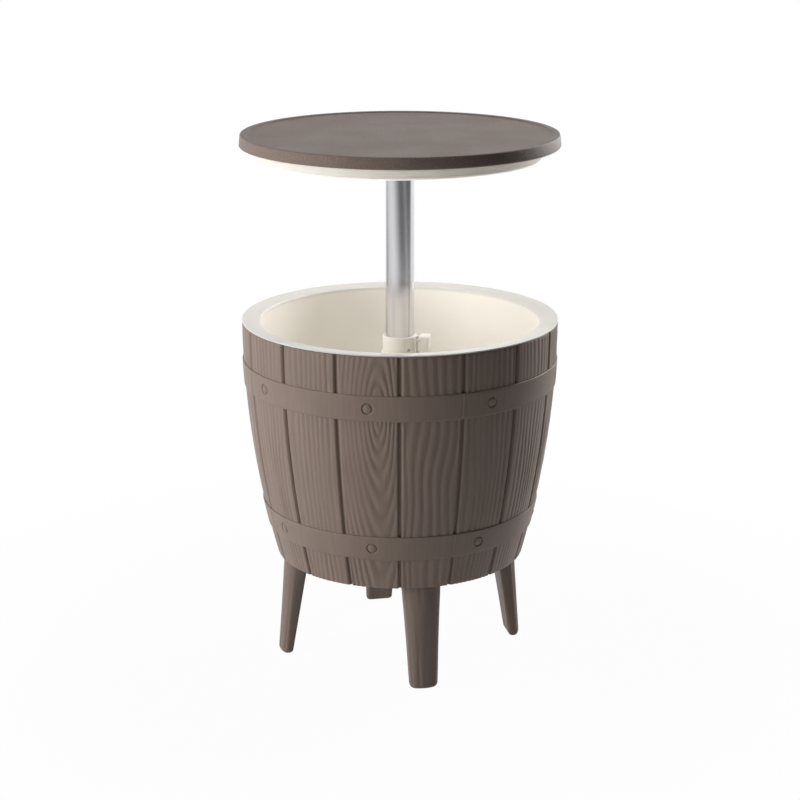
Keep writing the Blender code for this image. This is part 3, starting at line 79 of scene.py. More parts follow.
COLLAR_SCREW_LEVEL = 0.5003
WHITE = (1.0, 1.0, 1.0, 1.0)

Corner = tuple[float, float, float]
Point = tuple[float, float]
Colour = tuple[float, float, float]

TABLE_COLOUR: Colour = (0.215, 0.163, 0.138)
LEG_COLOUR: Colour = (0.198, 0.149, 0.124)


# ---------------------------------------------------------------- sizes shared by several pieces


@dataclass(frozen=True)
class CoolerSizes:
    """Main sizes of the cooler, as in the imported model.

    Attributes:
        rim_height: Top of the liner's rim.
        barrel_radius: Outer radius of the barrel at its top.
        barrel_bottom: Lower edge of the barrel.
        arc_radius: Radius of the staves' long arc.
        shell_top: Top of the staves, under the rim.
        wall: Thickness of the staves.
        hoop_width: Height of a hoop.
        hoop_proud: How far a hoop stands out of the staves.
        upper_hoop: Height of the upper hoop's middle.
        lower_hoop: Height of the lower hoop's middle.
        floor_underside: Underside of the barrel's floor.
        floor_top: Upper side of the barrel's floor.
        mouth_radius: Radius of the liner's mouth.
        tube_radius: Outer radius of the column tube.
        table_radius: Outer radius of the table's skirt.
        open_height: Top of the raised table.
    """

    rim_height: float = 0.5506
    barrel_radius: float = 0.2481
    barrel_bottom: float = 0.168
    arc_radius: float = 1.45
    shell_top: float = 0.5478
    wall: float = 0.0055
    hoop_width: float = 0.040
    hoop_proud: float = 0.0018
    upper_hoop: float = 0.4684
    lower_hoop: float = 0.2391
    floor_underside: float = 0.172
    floor_top: float = 0.175
    mouth_radius: float = 0.2195
    tube_radius: float = 0.0225
    table_radius: float = 0.2475
    open_height: float = 0.840

    def stave_radius(self, height: Any) -> Any:
        """Outer radius of the staves at a height, or at an array of heights."""
        drop = self.shell_top - height
        return self.barrel_radius - self.arc_radius + np.sqrt(self.arc_radius**2 - drop**2)


SIZES = CoolerSizes()


def at_angle(radius: float, angle: float, height: float) -> Vector:
    """A point at a radius and an angle around the column."""
    turn = math.radians(angle)
    return Vector((radius * math.cos(turn), radius * math.sin(turn), height))


def around(radius: Any, turn: Any, height: Any) -> np.ndarray:
    """Points at radii, turns in radians and heights, whose shapes are matched."""
    places = np.broadcast_arrays(radius * np.cos(turn), radius * np.sin(turn), height)
    return np.stack(places, axis=-1)


def spun(points: np.ndarray, angle: float) -> np.ndarray:
    """Points turned by an angle around the column."""
    cosine, sine = math.cos(math.radians(angle)), math.sin(math.radians(angle))
    return points @ np.array([[cosine, sine, 0], [-sine, cosine, 0], [0, 0, 1]])


def linked(name: str, data: bpy.types.ID) -> bpy.types.Object:
    """A new object of the scene that holds some data."""
    item = bpy.data.objects.new(name, data)
    bpy.context.scene.collection.objects.link(item)
    return item


def shaded(mesh: bpy.types.Mesh, sharp: float) -> bpy.types.Mesh:
    """A mesh shaded smooth, but for edges where its faces turn by an angle or more."""
    mesh.shade_smooth()
    mesh.set_sharp_from_angle(angle=math.radians(sharp))
    return mesh


# ---------------------------------------------------------------- profiles and meshes


def filleted(corners: Sequence[Corner], closed: bool = True, steps: int = 4) -> list[Point]:
    """Round the corners of a profile.

    Args:
        corners: Points of the profile, each with its rounding radius as the third value.
        closed: Whether the last corner joins the first.
        steps: Number of stretches in each rounding.

    Returns:
        The points of the rounded profile.
    """
    points: list[Point] = []
    count = len(corners)
    for index, (out, up, rounding) in enumerate(corners):
        if rounding <= 0 or (not closed and index in (0, count - 1)):
            points.append((out, up))
            continue
        here = Vector((out, up))
        before = Vector(corners[index - 1][:2]) - here
        after = Vector(corners[(index + 1) % count][:2]) - here
        half = before.angle(after) / 2
        reach = min(rounding / math.tan(half), before.length * 0.48, after.length * 0.48)
        radius = reach * math.tan(half)
        middle = (before.normalized() + after.normalized()).normalized()
        centre = here + middle * (radius / math.sin(half))
        first = (here + before.normalized() * reach - centre).normalized()
        last = (here + after.normalized() * reach - centre).normalized()
        for step in range(steps + 1):
            spoke = centre + first.slerp(last, step / steps) * radius
            points.append((spoke.x, spoke.y))
    return points


def grid_mesh(
    name: str,
    points: np.ndarray,
    closed_rows: bool = False,
    sharp: float = 40.0,
    tidy: bool = True,
) -> bpy.types.Mesh:
    """Make a mesh from rows of points that each close on themselves.

    Args:
        name: Name of the mesh.
        points: Array of shape (rows, columns, 3).
        closed_rows: Whether the last row joins the first.
        sharp: Turn between faces from which an edge is shaded sharp.
        tidy: Whether points that meet at a pole are merged and normals are recalculated.

    Returns:
        The mesh, with a UV map in metres: distance around, distance along the rows.
    """
    rows, columns = points.shape[:2]
    spans = rows if closed_rows else rows - 1
    row, column = np.divmod(np.arange(spans * columns), columns)
    corners = ((0, 0), (1, 0), (1, 1), (0, 1))
    quads = [(row + down) % rows * columns + (column + right) % columns for down, right in corners]
    mesh = bpy.data.meshes.new(name)
    mesh.from_pydata(points.reshape(-1, 3).tolist(), [], np.stack(quads, axis=-1).tolist())
    middle = points[rows // 2]
    widths = np.linalg.norm(np.roll(middle, -1, axis=0) - middle, axis=1)
    lengths = np.linalg.norm(np.roll(points, -1, axis=0) - points, axis=2).mean(axis=1)
    across, along = (np.concatenate([[0.0], np.cumsum(steps)]) for steps in (widths, lengths))
    flat = [np.stack([across[column + right], along[row + down]], axis=-1) for down, right in corners]
    layer = mesh.uv_layers.new(name="UVMap")
    layer.data.foreach_set("uv", np.stack(flat, axis=1).reshape(-1).astype(np.float32))
    if tidy:
        shape = bmesh.new()
        shape.from_mesh(mesh)
        bmesh.ops.remove_doubles(shape, verts=shape.verts, dist=MERGE)
        bmesh.ops.recalc_face_normals(shape, faces=shape.faces)
        shape.to_mesh(mesh)
        shape.free()
    return shaded(mesh, sharp)


def turned(
    name: str, profile: Sequence[Point], sides: int, closed: bool = True, sharp: float = 40.0
) -> bpy.types.Mesh:
    """Turn a profile around the column's axis.

    Args:
        name: Name of the mesh.
        profile: Points of the profile, each a radius and a height.
        sides: Number of columns around.
        closed: Whether the profile closes on itself. Otherwise both of its ends lie on the axis.
        sharp: Turn between faces from which an edge is shaded sharp.

    Returns:
        A closed mesh.
    """
    out, up = np.array(profile).T[..., None]
    points = around(out, np.arange(sides) * 2 * math.pi / sides, up)
    return grid_mesh(name, points, closed_rows=closed, sharp=sharp)


def add_piece(
    name: str,
    mesh: bpy.types.Mesh,
    body: str,
    materials: Sequence[bpy.types.Material],
    nodes: Sequence[str] = (),
    bends: tuple[str, Vector, Vector] | None = None,
) -> bpy.types.Object:
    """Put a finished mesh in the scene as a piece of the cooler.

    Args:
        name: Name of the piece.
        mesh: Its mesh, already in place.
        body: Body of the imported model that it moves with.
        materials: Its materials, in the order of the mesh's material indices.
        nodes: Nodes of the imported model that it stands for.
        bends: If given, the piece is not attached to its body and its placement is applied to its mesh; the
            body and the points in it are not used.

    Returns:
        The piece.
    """
    item = linked(name, mesh)
    mesh.materials.clear()
    for material in materials:
        mesh.materials.append(material)
    if bends:
        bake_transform(item)
    else:
        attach(item, body)
    if nodes:
        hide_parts(*nodes)
    LOG.info("%s: %d faces", name, len(mesh.polygons))
    return item


# ---------------------------------------------------------------- solids and copies


def box_mesh(
    low: Sequence[float], high: Sequence[float], turn: float = 0.0, rounding: float = 0.0
) -> bpy.types.Mesh:
    """Make a box between two corners.

    Args:
        low: Its low corner.
        high: Its high corner.
        turn: Angle by which it is turned around the column.
        rounding: Radius of its edges.

    Returns:
        The mesh.
    """
    low, high = Vector(low), Vector(high)
    mesh = bpy.data.meshes.new("box")
    shape = bmesh.new()
    place = Matrix.Translation((low + high) / 2) @ Matrix.Diagonal((*(high - low), 1.0))
    bmesh.ops.create_cube(shape, size=1.0, matrix=place)
    if rounding > 0:
        bmesh.ops.bevel(shape, geom=shape.edges, offset=rounding, segments=3, profile=0.5, affect="EDGES")
    bmesh.ops.rotate(shape, verts=shape.verts, matrix=Matrix.Rotation(math.radians(turn), 3, "Z"))
    shape.to_mesh(mesh)
    shape.free()
    return mesh


def rod_mesh(
    start: Sequence[float], end: Sequence[float], radius: float, sides: int = 32, turn: float = 0.0
) -> bpy.types.Mesh:
    """Make a round bar between two points.

    Args:
        start: One end of its axis.
        end: The other end.
        radius: Its radius.
        sides: Number of its sides.
        turn: Angle by which it is turned around the column.

    Returns:
        The mesh.
    """
    start, along = Vector(start), Vector(end) - Vector(start)
    mesh = bpy.data.meshes.new("rod")
    shape = bmesh.new()
    aim = Vector((0, 0, 1)).rotation_difference(along).to_matrix().to_4x4()
    place = Matrix.Rotation(math.radians(turn), 4, "Z") @ Matrix.Translation(start + along / 2) @ aim
    bmesh.ops.create_cone(
        shape,
        cap_ends=True,
        segments=sides,
        radius1=radius,
        radius2=radius,
        depth=along.length,
        matrix=place,
    )
    shape.to_mesh(mesh)
    shape.free()
    return mesh


def hole_mesh(place: Vector, radius: float) -> bpy.types.Mesh:
    """Upright bar that cuts a hole through a thin floor."""
    reach = Vector((0, 0, 0.01))
    return rod_mesh(place - reach, place + reach, radius)


def link_temporary(mesh: bpy.types.Mesh) -> bpy.types.Object:
    """Put a mesh in the scene as a helper that doesn't show."""
    item = linked(mesh.name, mesh)
    item.hide_render = True
    return item


def baked(
    name: str, sharp: float, item: bpy.types.Object, *helpers: bpy.types.Object
) -> bpy.types.Mesh:
    """Apply an object's modifiers, and remove it with its helpers.

    Args:
        name: Name of the result.
        sharp: Turn between faces from which an edge is shaded sharp.
        item: The object.
        *helpers: The objects that its modifiers use.

    Returns:
        The mesh, shaded smooth between its sharp edges.
    """
    bpy.context.view_layer.update()
    evaluated = item.evaluated_get(bpy.context.evaluated_depsgraph_get())
    mesh = bpy.data.meshes.new_from_object(evaluated)
    mesh.name = name
    for helper in (item, *helpers):
        bpy.data.objects.remove(helper)
    return shaded(mesh, sharp)


class Carver:
    """Joins and cuts solids one after another, and keeps the result as one mesh."""

    def __init__(self, mesh: bpy.types.Mesh) -> None:
        """Start from one solid."""
        self.item = link_temporary(mesh)
        self.tools: list[bpy.types.Object] = []

    def apply(self, operation: str, meshes: Sequence[bpy.types.Mesh]) -> "Carver":
        """Add one exact boolean for each mesh."""
        for mesh in meshes:
            tool = link_temporary(mesh)
            self.tools.append(tool)
            modifier = self.item.modifiers.new(operation, "BOOLEAN")
            modifier.operation = operation
            modifier.solver = "EXACT"
            modifier.object = tool
        return self

    def join(self, *meshes: bpy.types.Mesh) -> "Carver":
        """Join solids to this one."""
        return self.apply("UNION", meshes)

    def cut(self, *meshes: bpy.types.Mesh) -> "Carver":
        """Cut solids out of this one."""
        return self.apply("DIFFERENCE", meshes)

    def bake(self, name: str, sharp: float = 35.0) -> bpy.types.Mesh:
        """The result as one mesh, without the helpers."""
        return baked(name, sharp, self.item, *self.tools)


class Graph:
    """A node tree, with short calls that add and join nodes."""

    def __init__(self, tree: bpy.types.NodeTree) -> None:
        """Work on a tree."""
        self.tree = tree

    def add(self, kind: str, inputs: dict[Any, Any] | None = None, **settings: Any) -> bpy.types.Node:
        """Add a node.

        Args:
            kind: The node's type.
            inputs: Values or sockets for its inputs, by name or index.
            **settings: The node's own properties.

        Returns:
            The node.
        """
        node = self.tree.nodes.new(kind)
        for name, value in settings.items():
            setattr(node, name, value)
        for name, value in (inputs or {}).items():
            self.feed(node.inputs[name], value)
        return node

    def get(
        self, kind: str, inputs: dict[Any, Any] | None = None, **settings: Any
    ) -> bpy.types.NodeSocket:
        """First output of a node that is added."""
        return self.add(kind, inputs, **settings).outputs[0]

    def feed(self, socket: bpy.types.NodeSocket, value: Any) -> None:
        """Link a socket into an input, or write a value to it."""
        if isinstance(value, bpy.types.NodeSocket):
            self.tree.links.new(value, socket)
        else:
            socket.default_value = value

    def math(self, operation: str, first: Any, second: Any = 0.0) -> bpy.types.NodeSocket:
        """Result of a Math node."""
        return self.get("ShaderNodeMath", {0: first, 1: second}, operation=operation)


@dataclass(frozen=True)
class Copies:
    """Copies of one small shape on chosen seats, made by Geometry Nodes.

    Attributes:
        seats: Where each copy sits, and the direction in which its own +Z points.
        spin: Most by which a copy is turned about its own axis, either way.
        seed: Seed of the turns.
    """

    seats: Sequence[tuple[Vector, Vector]]
    spin: float = 180.0
    seed: int = 5

    @staticmethod
    def tree() -> bpy.types.NodeTree:
        """Node tree that puts a shape on each seat, turned to the seat's aim."""
        tree = bpy.data.node_groups.new("copies", "GeometryNodeTree")
        for name, way, kind in (
            ("Seats", "INPUT", "Geometry"), ("Shape", "INPUT", "Object"), ("Spin", "INPUT", "Float"),
            ("Seed", "INPUT", "Int"), ("Material", "INPUT", "Material"), ("Copies", "OUTPUT", "Geometry"),
        ):
            tree.interface.new_socket(name, in_out=way, socket_type="NodeSocket" + kind)
        graph = Graph(tree)
        source = graph.add("NodeGroupInput").outputs
        aim = graph.add("GeometryNodeInputNamedAttribute", {"Name": "aim"}, data_type="FLOAT_VECTOR")
        align = graph.get(
            "FunctionNodeAlignRotationToVector", {"Vector": aim.outputs["Attribute"]}, axis="Z"
        )
        chance = graph.add("FunctionNodeRandomValue", {"Seed": source["Seed"]}, data_type="FLOAT")
        ends = [item for item in chance.inputs if item.enabled and item.name in ("Min", "Max")]
        graph.feed(ends[0], graph.math("MULTIPLY", source["Spin"], -1.0))
        graph.feed(ends[1], source["Spin"])
        value = next(item for item in chance.outputs if item.enabled)
        turn = graph.get("ShaderNodeCombineXYZ", {"Z": value})
        spin = graph.get("FunctionNodeEulerToRotation", {"Euler": turn})
        both = graph.get(
            "FunctionNodeRotateRotation", {"Rotation": align, "Rotate By": spin}, rotation_space="LOCAL"
        )
        shape = graph.add("GeometryNodeObjectInfo", {"Object": source["Shape"]}).outputs["Geometry"]
        place = graph.get(
            "GeometryNodeInstanceOnPoints", {"Points": source["Seats"], "Instance": shape, "Rotation": both}
        )
        real = graph.get("GeometryNodeRealizeInstances", {0: place})
        paint = graph.get("GeometryNodeSetMaterial", {"Geometry": real, "Material": source["Material"]})
        graph.add("NodeGroupOutput", {"Copies": paint})
        return tree

    def mesh(self, name: str, shape: bpy.types.Mesh, material: bpy.types.Material) -> bpy.types.Mesh:
        """Make the copies.

        Args:
            name: Name of the mesh.
            shape: The shape to copy, with its seat at the origin.
            material: The copies' material.

        Returns:
            One mesh that holds every copy.
        """
        seats = bpy.data.meshes.new(name + "_seats")
        seats.from_pydata([seat for seat, _ in self.seats], [], [])
        layer = seats.attributes.new("aim", "FLOAT_VECTOR", "POINT")
        layer.data.foreach_set("vector", [value for _, aim in self.seats for value in aim])
        carrier = link_temporary(seats)
        pattern = link_temporary(shape)
        modifier = carrier.modifiers.new("copies", "NODES")
        tree = bpy.data.node_groups.get("copies") or self.tree()
        modifier.node_group = tree
        values = {"Shape": pattern, "Spin": math.radians(self.spin), "Seed": self.seed, "Material": material}
        for socket in tree.interface.items_tree:
            if socket.name in values:
                modifier[socket.identifier] = values[socket.name]
        carrier.update_tag()
        return baked(name, 35.0, carrier, pattern)


# ---------------------------------------------------------------- smooth noise for reliefs


class SmoothNoise:
    """Seeded noise on a plane, smooth between the points of a lattice."""

    def __init__(self, seed: int, size: int = 97) -> None:
        """Fill the lattice from a seed."""
        self.size = size
        self.lattice = np.random.default_rng(seed).uniform(-1.0, 1.0, (size, size))

    def __call__(self, across: np.ndarray, along: np.ndarray) -> np.ndarray:
        """Noise between -1 and 1 at points whose unit is the lattice's step."""
        column, row = np.floor(across).astype(int), np.floor(along).astype(int)
        right, up = (
            share * share * share * (share * (share * 6 - 15) + 10)
            for share in (across - column, along - row)
        )
        first, second = column % self.size, (column + 1) % self.size
        near, far = (
            self.lattice[first, line % self.size] * (1 - right)
            + self.lattice[second, line % self.size] * right
            for line in (row, row + 1)
        )
        return near * (1 - up) + far * up


def smooth_step(low: float, high: float, value: np.ndarray) -> np.ndarray:
    """0 below a low limit, 1 above a high one, and smooth between them."""
    share = np.clip((value - low) / (high - low), 0.0, 1.0)
    return share * share * (3 - 2 * share)


# ---------------------------------------------------------------- materials


class Shader(Graph):
    """A Principled material's node tree."""

    def __init__(self, material: bpy.types.Material) -> None:
        """Work on a material that has a Principled shader."""
        super().__init__(material.node_tree)
        self.material = material
        self.surface = self.tree.nodes["Principled BSDF"]

    @classmethod
    def new(cls, name: str) -> "Shader":
        """Start a material with its Principled shader."""
        material = bpy.data.materials.new(name)
        material.use_nodes = True
        return cls(material)

    def ramp(
        self, value: Any, low: float, high: float, start: float = 0.0, end: float = 1.0
    ) -> bpy.types.NodeSocket:
        """A value mapped smoothly from one range to another and held at its ends."""
        inputs = {"Value": value, "From Min": low, "From Max": high, "To Min": start, "To Max": end}
        node = self.add("ShaderNodeMapRange", inputs, interpolation_type="SMOOTHSTEP")
        return node.outputs["Result"]

    def vary(self, noise: Any, low: float, high: float) -> bpy.types.NodeSocket:
        """Noise mapped from its usual values to a range."""
        return self.ramp(noise, 0.3, 0.7, low, high)

    def about(self, mean: float, spread: float, noise: Any) -> bpy.types.NodeSocket:
        """A mean that noise shifts by a spread, either way."""
        return self.vary(noise, mean - spread, mean + spread)

    def times(self, first: Any, second: Any) -> bpy.types.NodeSocket:
        """Product of two values."""
        return self.math("MULTIPLY", first, second)

    def tinted(self, colour: Colour, tone: Any) -> bpy.types.NodeSocket:
        """A colour made lighter or darker by a factor."""
        return self.get("ShaderNodeVectorMath", {0: colour, "Scale": tone}, operation="SCALE")

    def noise(
        self, place: Any, scale: float, detail: float = 2.0, roughness: float = 0.5
    ) -> bpy.types.NodeSocket:
        """Noise at a place, as a value around a half."""
        inputs = {"Vector": place, "Scale": scale, "Detail": detail, "Roughness": roughness}
        return self.get("ShaderNodeTexNoise", inputs)

    def stretched(self, place: Any, scale: tuple[float, float, float]) -> bpy.types.NodeSocket:
        """A place with its axes scaled apart."""
        return self.get("ShaderNodeMapping", {"Vector": place, "Scale": scale})

    def uv(self) -> bpy.types.NodeSocket:
        """The piece's own UV map, in metres."""
        return self.get("ShaderNodeUVMap", uv_map="UVMap")

    def place(self) -> bpy.types.NodeSocket:
        """Object coordinates, in metres."""
        return self.add("ShaderNodeTexCoord").outputs["Object"]

    def attribute(self, name: str) -> bpy.types.NodeSocket:
        """A value stored on the mesh."""
        return self.add("ShaderNodeAttribute", attribute_name=name).outputs["Fac"]

    def bump(self, height: Any, distance: float, under: Any = None) -> bpy.types.NodeSocket:
        """A normal that shows a height, on top of another bump if one is given."""
        inputs = {"Height": height, "Distance": distance, "Strength": 1.0}
        return self.get("ShaderNodeBump", inputs if under is None else {**inputs, "Normal": under})

    def finish(self, **inputs: Any) -> bpy.types.Material:
        """Feed the Principled shader, with each input's name written with underscores."""
        for name, value in inputs.items():
            self.feed(self.surface.inputs[name.replace("_", " ").title().replace("Ior", "IOR")], value)
        return self.material


@dataclass(frozen=True)
class WoodGrainPlastic:
    """Dull moulded plastic that is embossed with a wood grain, with painted shade darkening the bottoms of
    its grain lines.

    Attributes:
        colour: Linear base colour.
        roughness: Mean roughness.
        specular: Strength of its reflections, 0.5 being that of clear plastic.
        line_depth: Depth of the fine grain lines.
        pore_depth: Depth of the short pores between them.
        has_rings: Whether the mesh carries the grain's rings as an attribute.
    """

    colour: Colour = (0.247, 0.186, 0.154)
    roughness: float = 0.48
    specular: float = 0.30
    line_depth: float = 0.00016
    pore_depth: float = 0.00010
    has_rings: bool = True

    def build(self, name: str) -> bpy.types.Material:
        """Make the material."""
        shader = Shader.new(name)
        uv = shader.uv()
        pores = shader.noise(shader.stretched(uv, (900.0, 45.0, 1.0)), 1.0, 3.0, 0.6)
        streaks = shader.noise(shader.stretched(uv, (160.0, 9.0, 1.0)), 1.0, 2.0)
        mottle = shader.noise(shader.place(), 9.0, 3.0)
        normal = shader.bump(shader.ramp(pores, 0.35, 0.65), self.pore_depth)
        tone = shader.times(shader.vary(mottle, 0.96, 1.04), shader.vary(streaks, 0.95, 1.03))
        if self.has_rings:
            rings = shader.math("FRACT", shader.attribute("rings"))
            away = shader.math("ABSOLUTE", shader.math("SUBTRACT", rings, 0.5))
            line = shader.times(shader.ramp(away, 0.02, 0.26, 1.0, 0.0), shader.attribute("grain"))
            normal = shader.bump(shader.math("SUBTRACT", 1.0, line), self.line_depth, normal)
            # Painted shade: the colour is darkened by up to a tenth along the grain lines, which are the
            # bottoms of the embossed relief.
            tone = shader.times(tone, shader.ramp(line, 0.0, 1.0, 1.0, 0.90))
        return shader.finish(
            base_color=shader.tinted(self.colour, tone),
            roughness=shader.about(self.roughness, 0.05, mottle),
            normal=normal,
            specular_ior_level=self.specular,
        )


@dataclass(frozen=True)
class PebblePlastic:
    """Dull plastic with the fine pebbled face of a table top.

    Attributes:
        colour: Linear base colour.
        roughness: Mean roughness.
        specular: Strength of its reflections, 0.5 being that of clear plastic.
        depth: Depth of the pebbling.
    """

    colour: Colour = TABLE_COLOUR
    roughness: float = 0.50
    specular: float = 0.24
    depth: float = 0.00040

    def build(self, name: str) -> bpy.types.Material:
        """Make the material."""
        shader = Shader.new(name)
        place = shader.place()
        cells = shader.add(
            "ShaderNodeTexVoronoi", {"Vector": place, "Scale": 620.0}, feature="SMOOTH_F1"
        ).outputs["Distance"]
        grains = shader.noise(place, 480.0, 2.0, 0.6)
        height = shader.math("ADD", shader.times(cells, -0.8), shader.times(grains, 0.6))
        mottle = shader.noise(place, 12.0, 3.0)
        tone = shader.times(shader.vary(mottle, 0.97, 1.03), shader.vary(grains, 0.86, 1.12))
        return shader.finish(
            base_color=shader.tinted(self.colour, tone),
            roughness=shader.about(self.roughness, 0.04, mottle),
            normal=shader.bump(height, self.depth),
            specular_ior_level=self.specular,
        )


@dataclass(frozen=True)
class SmoothPlastic:
    """Smooth moulded plastic with a low sheen and a faint orange-peel.

    Attributes:
        colour: Linear base colour.
        roughness: Mean roughness.
        specular: Strength of its reflections, 0.5 being that of clear plastic.
        peel: Depth of the orange-peel.
    """

    colour: Colour = (0.84, 0.805, 0.745)
    roughness: float = 0.34
    specular: float = 0.40
    peel: float = 0.00002

    def build(self, name: str) -> bpy.types.Material:
        """Make the material."""
        shader = Shader.new(name)
        place = shader.place()
        cloud = shader.noise(place, 7.0, 3.0)
        return shader.finish(
            base_color=shader.tinted(self.colour, shader.vary(cloud, 0.975, 1.01)),
            roughness=shader.about(self.roughness, 0.04, cloud),
            normal=shader.bump(shader.noise(place, 260.0, 2.0), self.peel),
            specular_ior_level=self.specular,
        )


@dataclass(frozen=True)
class LinerPlastic(SmoothPlastic):
    """White plastic of the liner, with painted shade on its rim: the rim gets a greyer colour than the tub,
    which offsets the stronger lamp light on the up-facing rim.

    Attributes:
        rim_painted_shade_colour: Linear base colour of the rim, greyer than the tub's as painted shade.
        tub_below: Height below which the tub's colour is full.
        rim_above: Height above which the rim's painted shade is full.
    """

    colour: Colour = (0.93, 0.900, 0.840)
    rim_painted_shade_colour: Colour = (0.71, 0.695, 0.66)
    tub_below: float = 0.541
    rim_above: float = 0.5472

    def build(self, name: str) -> bpy.types.Material:
        """Make the material."""
        shader = Shader(super().build(name))
        height = shader.add("ShaderNodeSeparateXYZ", {0: shader.place()}).outputs["Z"]
        # Painted shade: above the mouth the liner's colour is blended to the greyer rim colour, to offset the
        # stronger light on the up-facing rim.
        share = shader.ramp(height, self.tub_below, self.rim_above)
        change = [rim / tub - 1.0 for rim, tub in zip(self.rim_painted_shade_colour, self.colour)]
        shift = {0: shader.tinted(change, share), 1: WHITE[:3]}
        factor = shader.get("ShaderNodeVectorMath", shift, operation="ADD")
        base = shader.surface.inputs["Base Color"].links[0].from_socket
        both = shader.get("ShaderNodeVectorMath", {0: base, 1: factor}, operation="MULTIPLY")
        return shader.finish(base_color=both)


@dataclass(frozen=True)
class BrushedMetal:
    """Metal that is brushed or drawn along one axis of the piece's UV map.

    Attributes:
        colour: Linear base colour.
        roughness: Mean roughness.
        scale: Brush lines per metre across and along the UV map.
        depth: Depth of the brush lines.
    """

    colour: Colour = (0.67, 0.67, 0.69)
    roughness: float = 0.20
    scale: tuple[float, float, float] = (2600.0, 18.0, 1.0)
    depth: float = 0.000004

    def build(self, name: str) -> bpy.types.Material:
        """Make the material."""
        shader = Shader.new(name)
        lines = shader.noise(shader.stretched(shader.uv(), self.scale), 1.0, 3.0, 0.6)
        bands = shader.noise(shader.stretched(shader.uv(), (110.0, 2.5, 1.0)), 1.0, 2.0)
        return shader.finish(
            base_color=shader.tinted(self.colour, shader.vary(lines, 0.95, 1.04)),
            roughness=shader.about(self.roughness, 0.02, bands),
            normal=shader.bump(lines, self.depth),
            metallic=1.0,
        )


@dataclass(frozen=True)
class ZincSteel:
    """Bright zinc-plated steel with faint clouds.

    Attributes:
        colour: Linear base colour.
        roughness: Mean roughness.
    """

    colour: Colour = (0.52, 0.52, 0.53)
    roughness: float = 0.34

    def build(self, name: str) -> bpy.types.Material:
        """Make the material."""
        shader = Shader.new(name)
        cloud = shader.noise(shader.place(), 420.0, 3.0)
        return shader.finish(
            base_color=shader.tinted(self.colour, shader.vary(cloud, 0.85, 1.10)),
            roughness=shader.about(self.roughness, 0.08, cloud),
            normal=shader.bump(cloud, 0.00001),
            metallic=1.0,
        )


@dataclass(frozen=True)
class SoftRubber:
    """Dull dark rubber.

    Attributes:
        colour: Linear base colour.
        roughness: Mean roughness.
    """

    colour: Colour = (0.10, 0.10, 0.10)
    roughness: float = 0.75

    def build(self, name: str) -> bpy.types.Material:
        """Make the material."""
        shader = Shader.new(name)
        grains = shader.noise(shader.place(), 700.0, 2.0)
        return shader.finish(
            base_color=shader.tinted(self.colour, shader.vary(grains, 0.85, 1.15)),
            roughness=shader.about(self.roughness, 0.08, grains),
            normal=shader.bump(grains, 0.00003),
        )


class Finishes:
    """The cooler's materials, each made once."""

    def __init__(self) -> None:
        """Make every material."""
        self.staves = WoodGrainPlastic().build("stave_plastic")
        self.hoops = WoodGrainPlastic(has_rings=False).build("hoop_plastic")
        self.legs = WoodGrainPlastic(LEG_COLOUR, has_rings=False).build("leg_plastic")
        self.table = PebblePlastic().build("table_plastic")
        self.skirt = SmoothPlastic(TABLE_COLOUR, 0.44, 0.30).build("skirt_plastic")
        self.white = SmoothPlastic().build("white_plastic")
        self.liner = LinerPlastic().build("liner_plastic")
        self.column = BrushedMetal().build("column_aluminium")
        self.steel = ZincSteel().build("zinc_steel")
        self.rubber = SoftRubber().build("plug_rubber")

    def dress(self, nodes: dict[str, bpy.types.Object], slots: dict[str, str]) -> None:
        """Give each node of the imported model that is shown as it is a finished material.

        Args:
            nodes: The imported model's objects, by node name.
            slots: The record's material slot of each node.
        """
        by_slot = {
            "taupe_plastic": self.skirt,
            "white_plastic": self.white,
            "aluminium": self.column,
            "steel": self.steel,
            "rubber": self.rubber,
        }
        for name, item in nodes.items():
            for place in item.material_slots:
                place.material = by_slot[slots[name]]


# ---------------------------------------------------------------- screws


@dataclass(frozen=True)
class Screw:
    """A pan-head screw with a cross recess. Its head lies below its seat and its shank rises.

    Attributes:
        head_radius: Radius of the head.
        head_height: Height of the head.
        shank_radius: Outer radius of the thread.
        length: Length of the shank.
        pitch: Distance between thread ridges.
    """

    head_radius: float = 0.0038
    head_height: float = 0.0021
    shank_radius: float = 0.0018
    length: float = 0.0074
    pitch: float = 0.0009

    def mesh(self) -> bpy.types.Mesh:
        """Make the screw's shape."""
        core = self.shank_radius * 0.78
        corners: list[Corner] = [(0.0, self.length, 0.0), (core * 0.5, self.length, 0.0)]
        for index in range(int(self.length / self.pitch) - 1):
            height = self.length - 0.0006 - index * self.pitch
            corners += [(core, height, 0.0), (self.shank_radius, height - self.pitch * 0.45, 0.0)]
        corners += [
            (core, 0.0003, 0.0), (core, 0.0, 0.0), (self.head_radius, 0.0, self.head_height * 0.3),
            (self.head_radius * 0.92, -self.head_height, self.head_height * 0.6),
            (0.0, -self.head_height, 0.0),
        ]
        carver = Carver(turned("screw_shape", filleted(corners, closed=False, steps=4), 20, closed=False))
        arm, thin = self.head_radius * 0.58, self.head_radius * 0.13
        low, depth = -self.head_height - 0.001, -self.head_height * 0.45
        for wide, deep in ((arm, thin), (thin, arm)):
            carver.cut(box_mesh((-wide, -deep, low), (wide, deep, depth)))
        return carver.bake("screw_shape")


def screw_ring(circle: float, height: float) -> list[tuple[Vector, Vector]]:
    """Seats of four upright screws, midway between the legs."""
    return [(at_angle(circle, 45.0 + 90.0 * index, height), Vector((0, 0, 1))) for index in range(4)]


def facing_screws(radius: float, angle: float, height: float) -> list[tuple[Vector, Vector]]:
    """Seats of two screws that face each other across the column, pointing inwards."""
    turns = (angle, angle + 180.0)
    return [(at_angle(radius, turn, height), -at_angle(1.0, turn, 0.0)) for turn in turns]


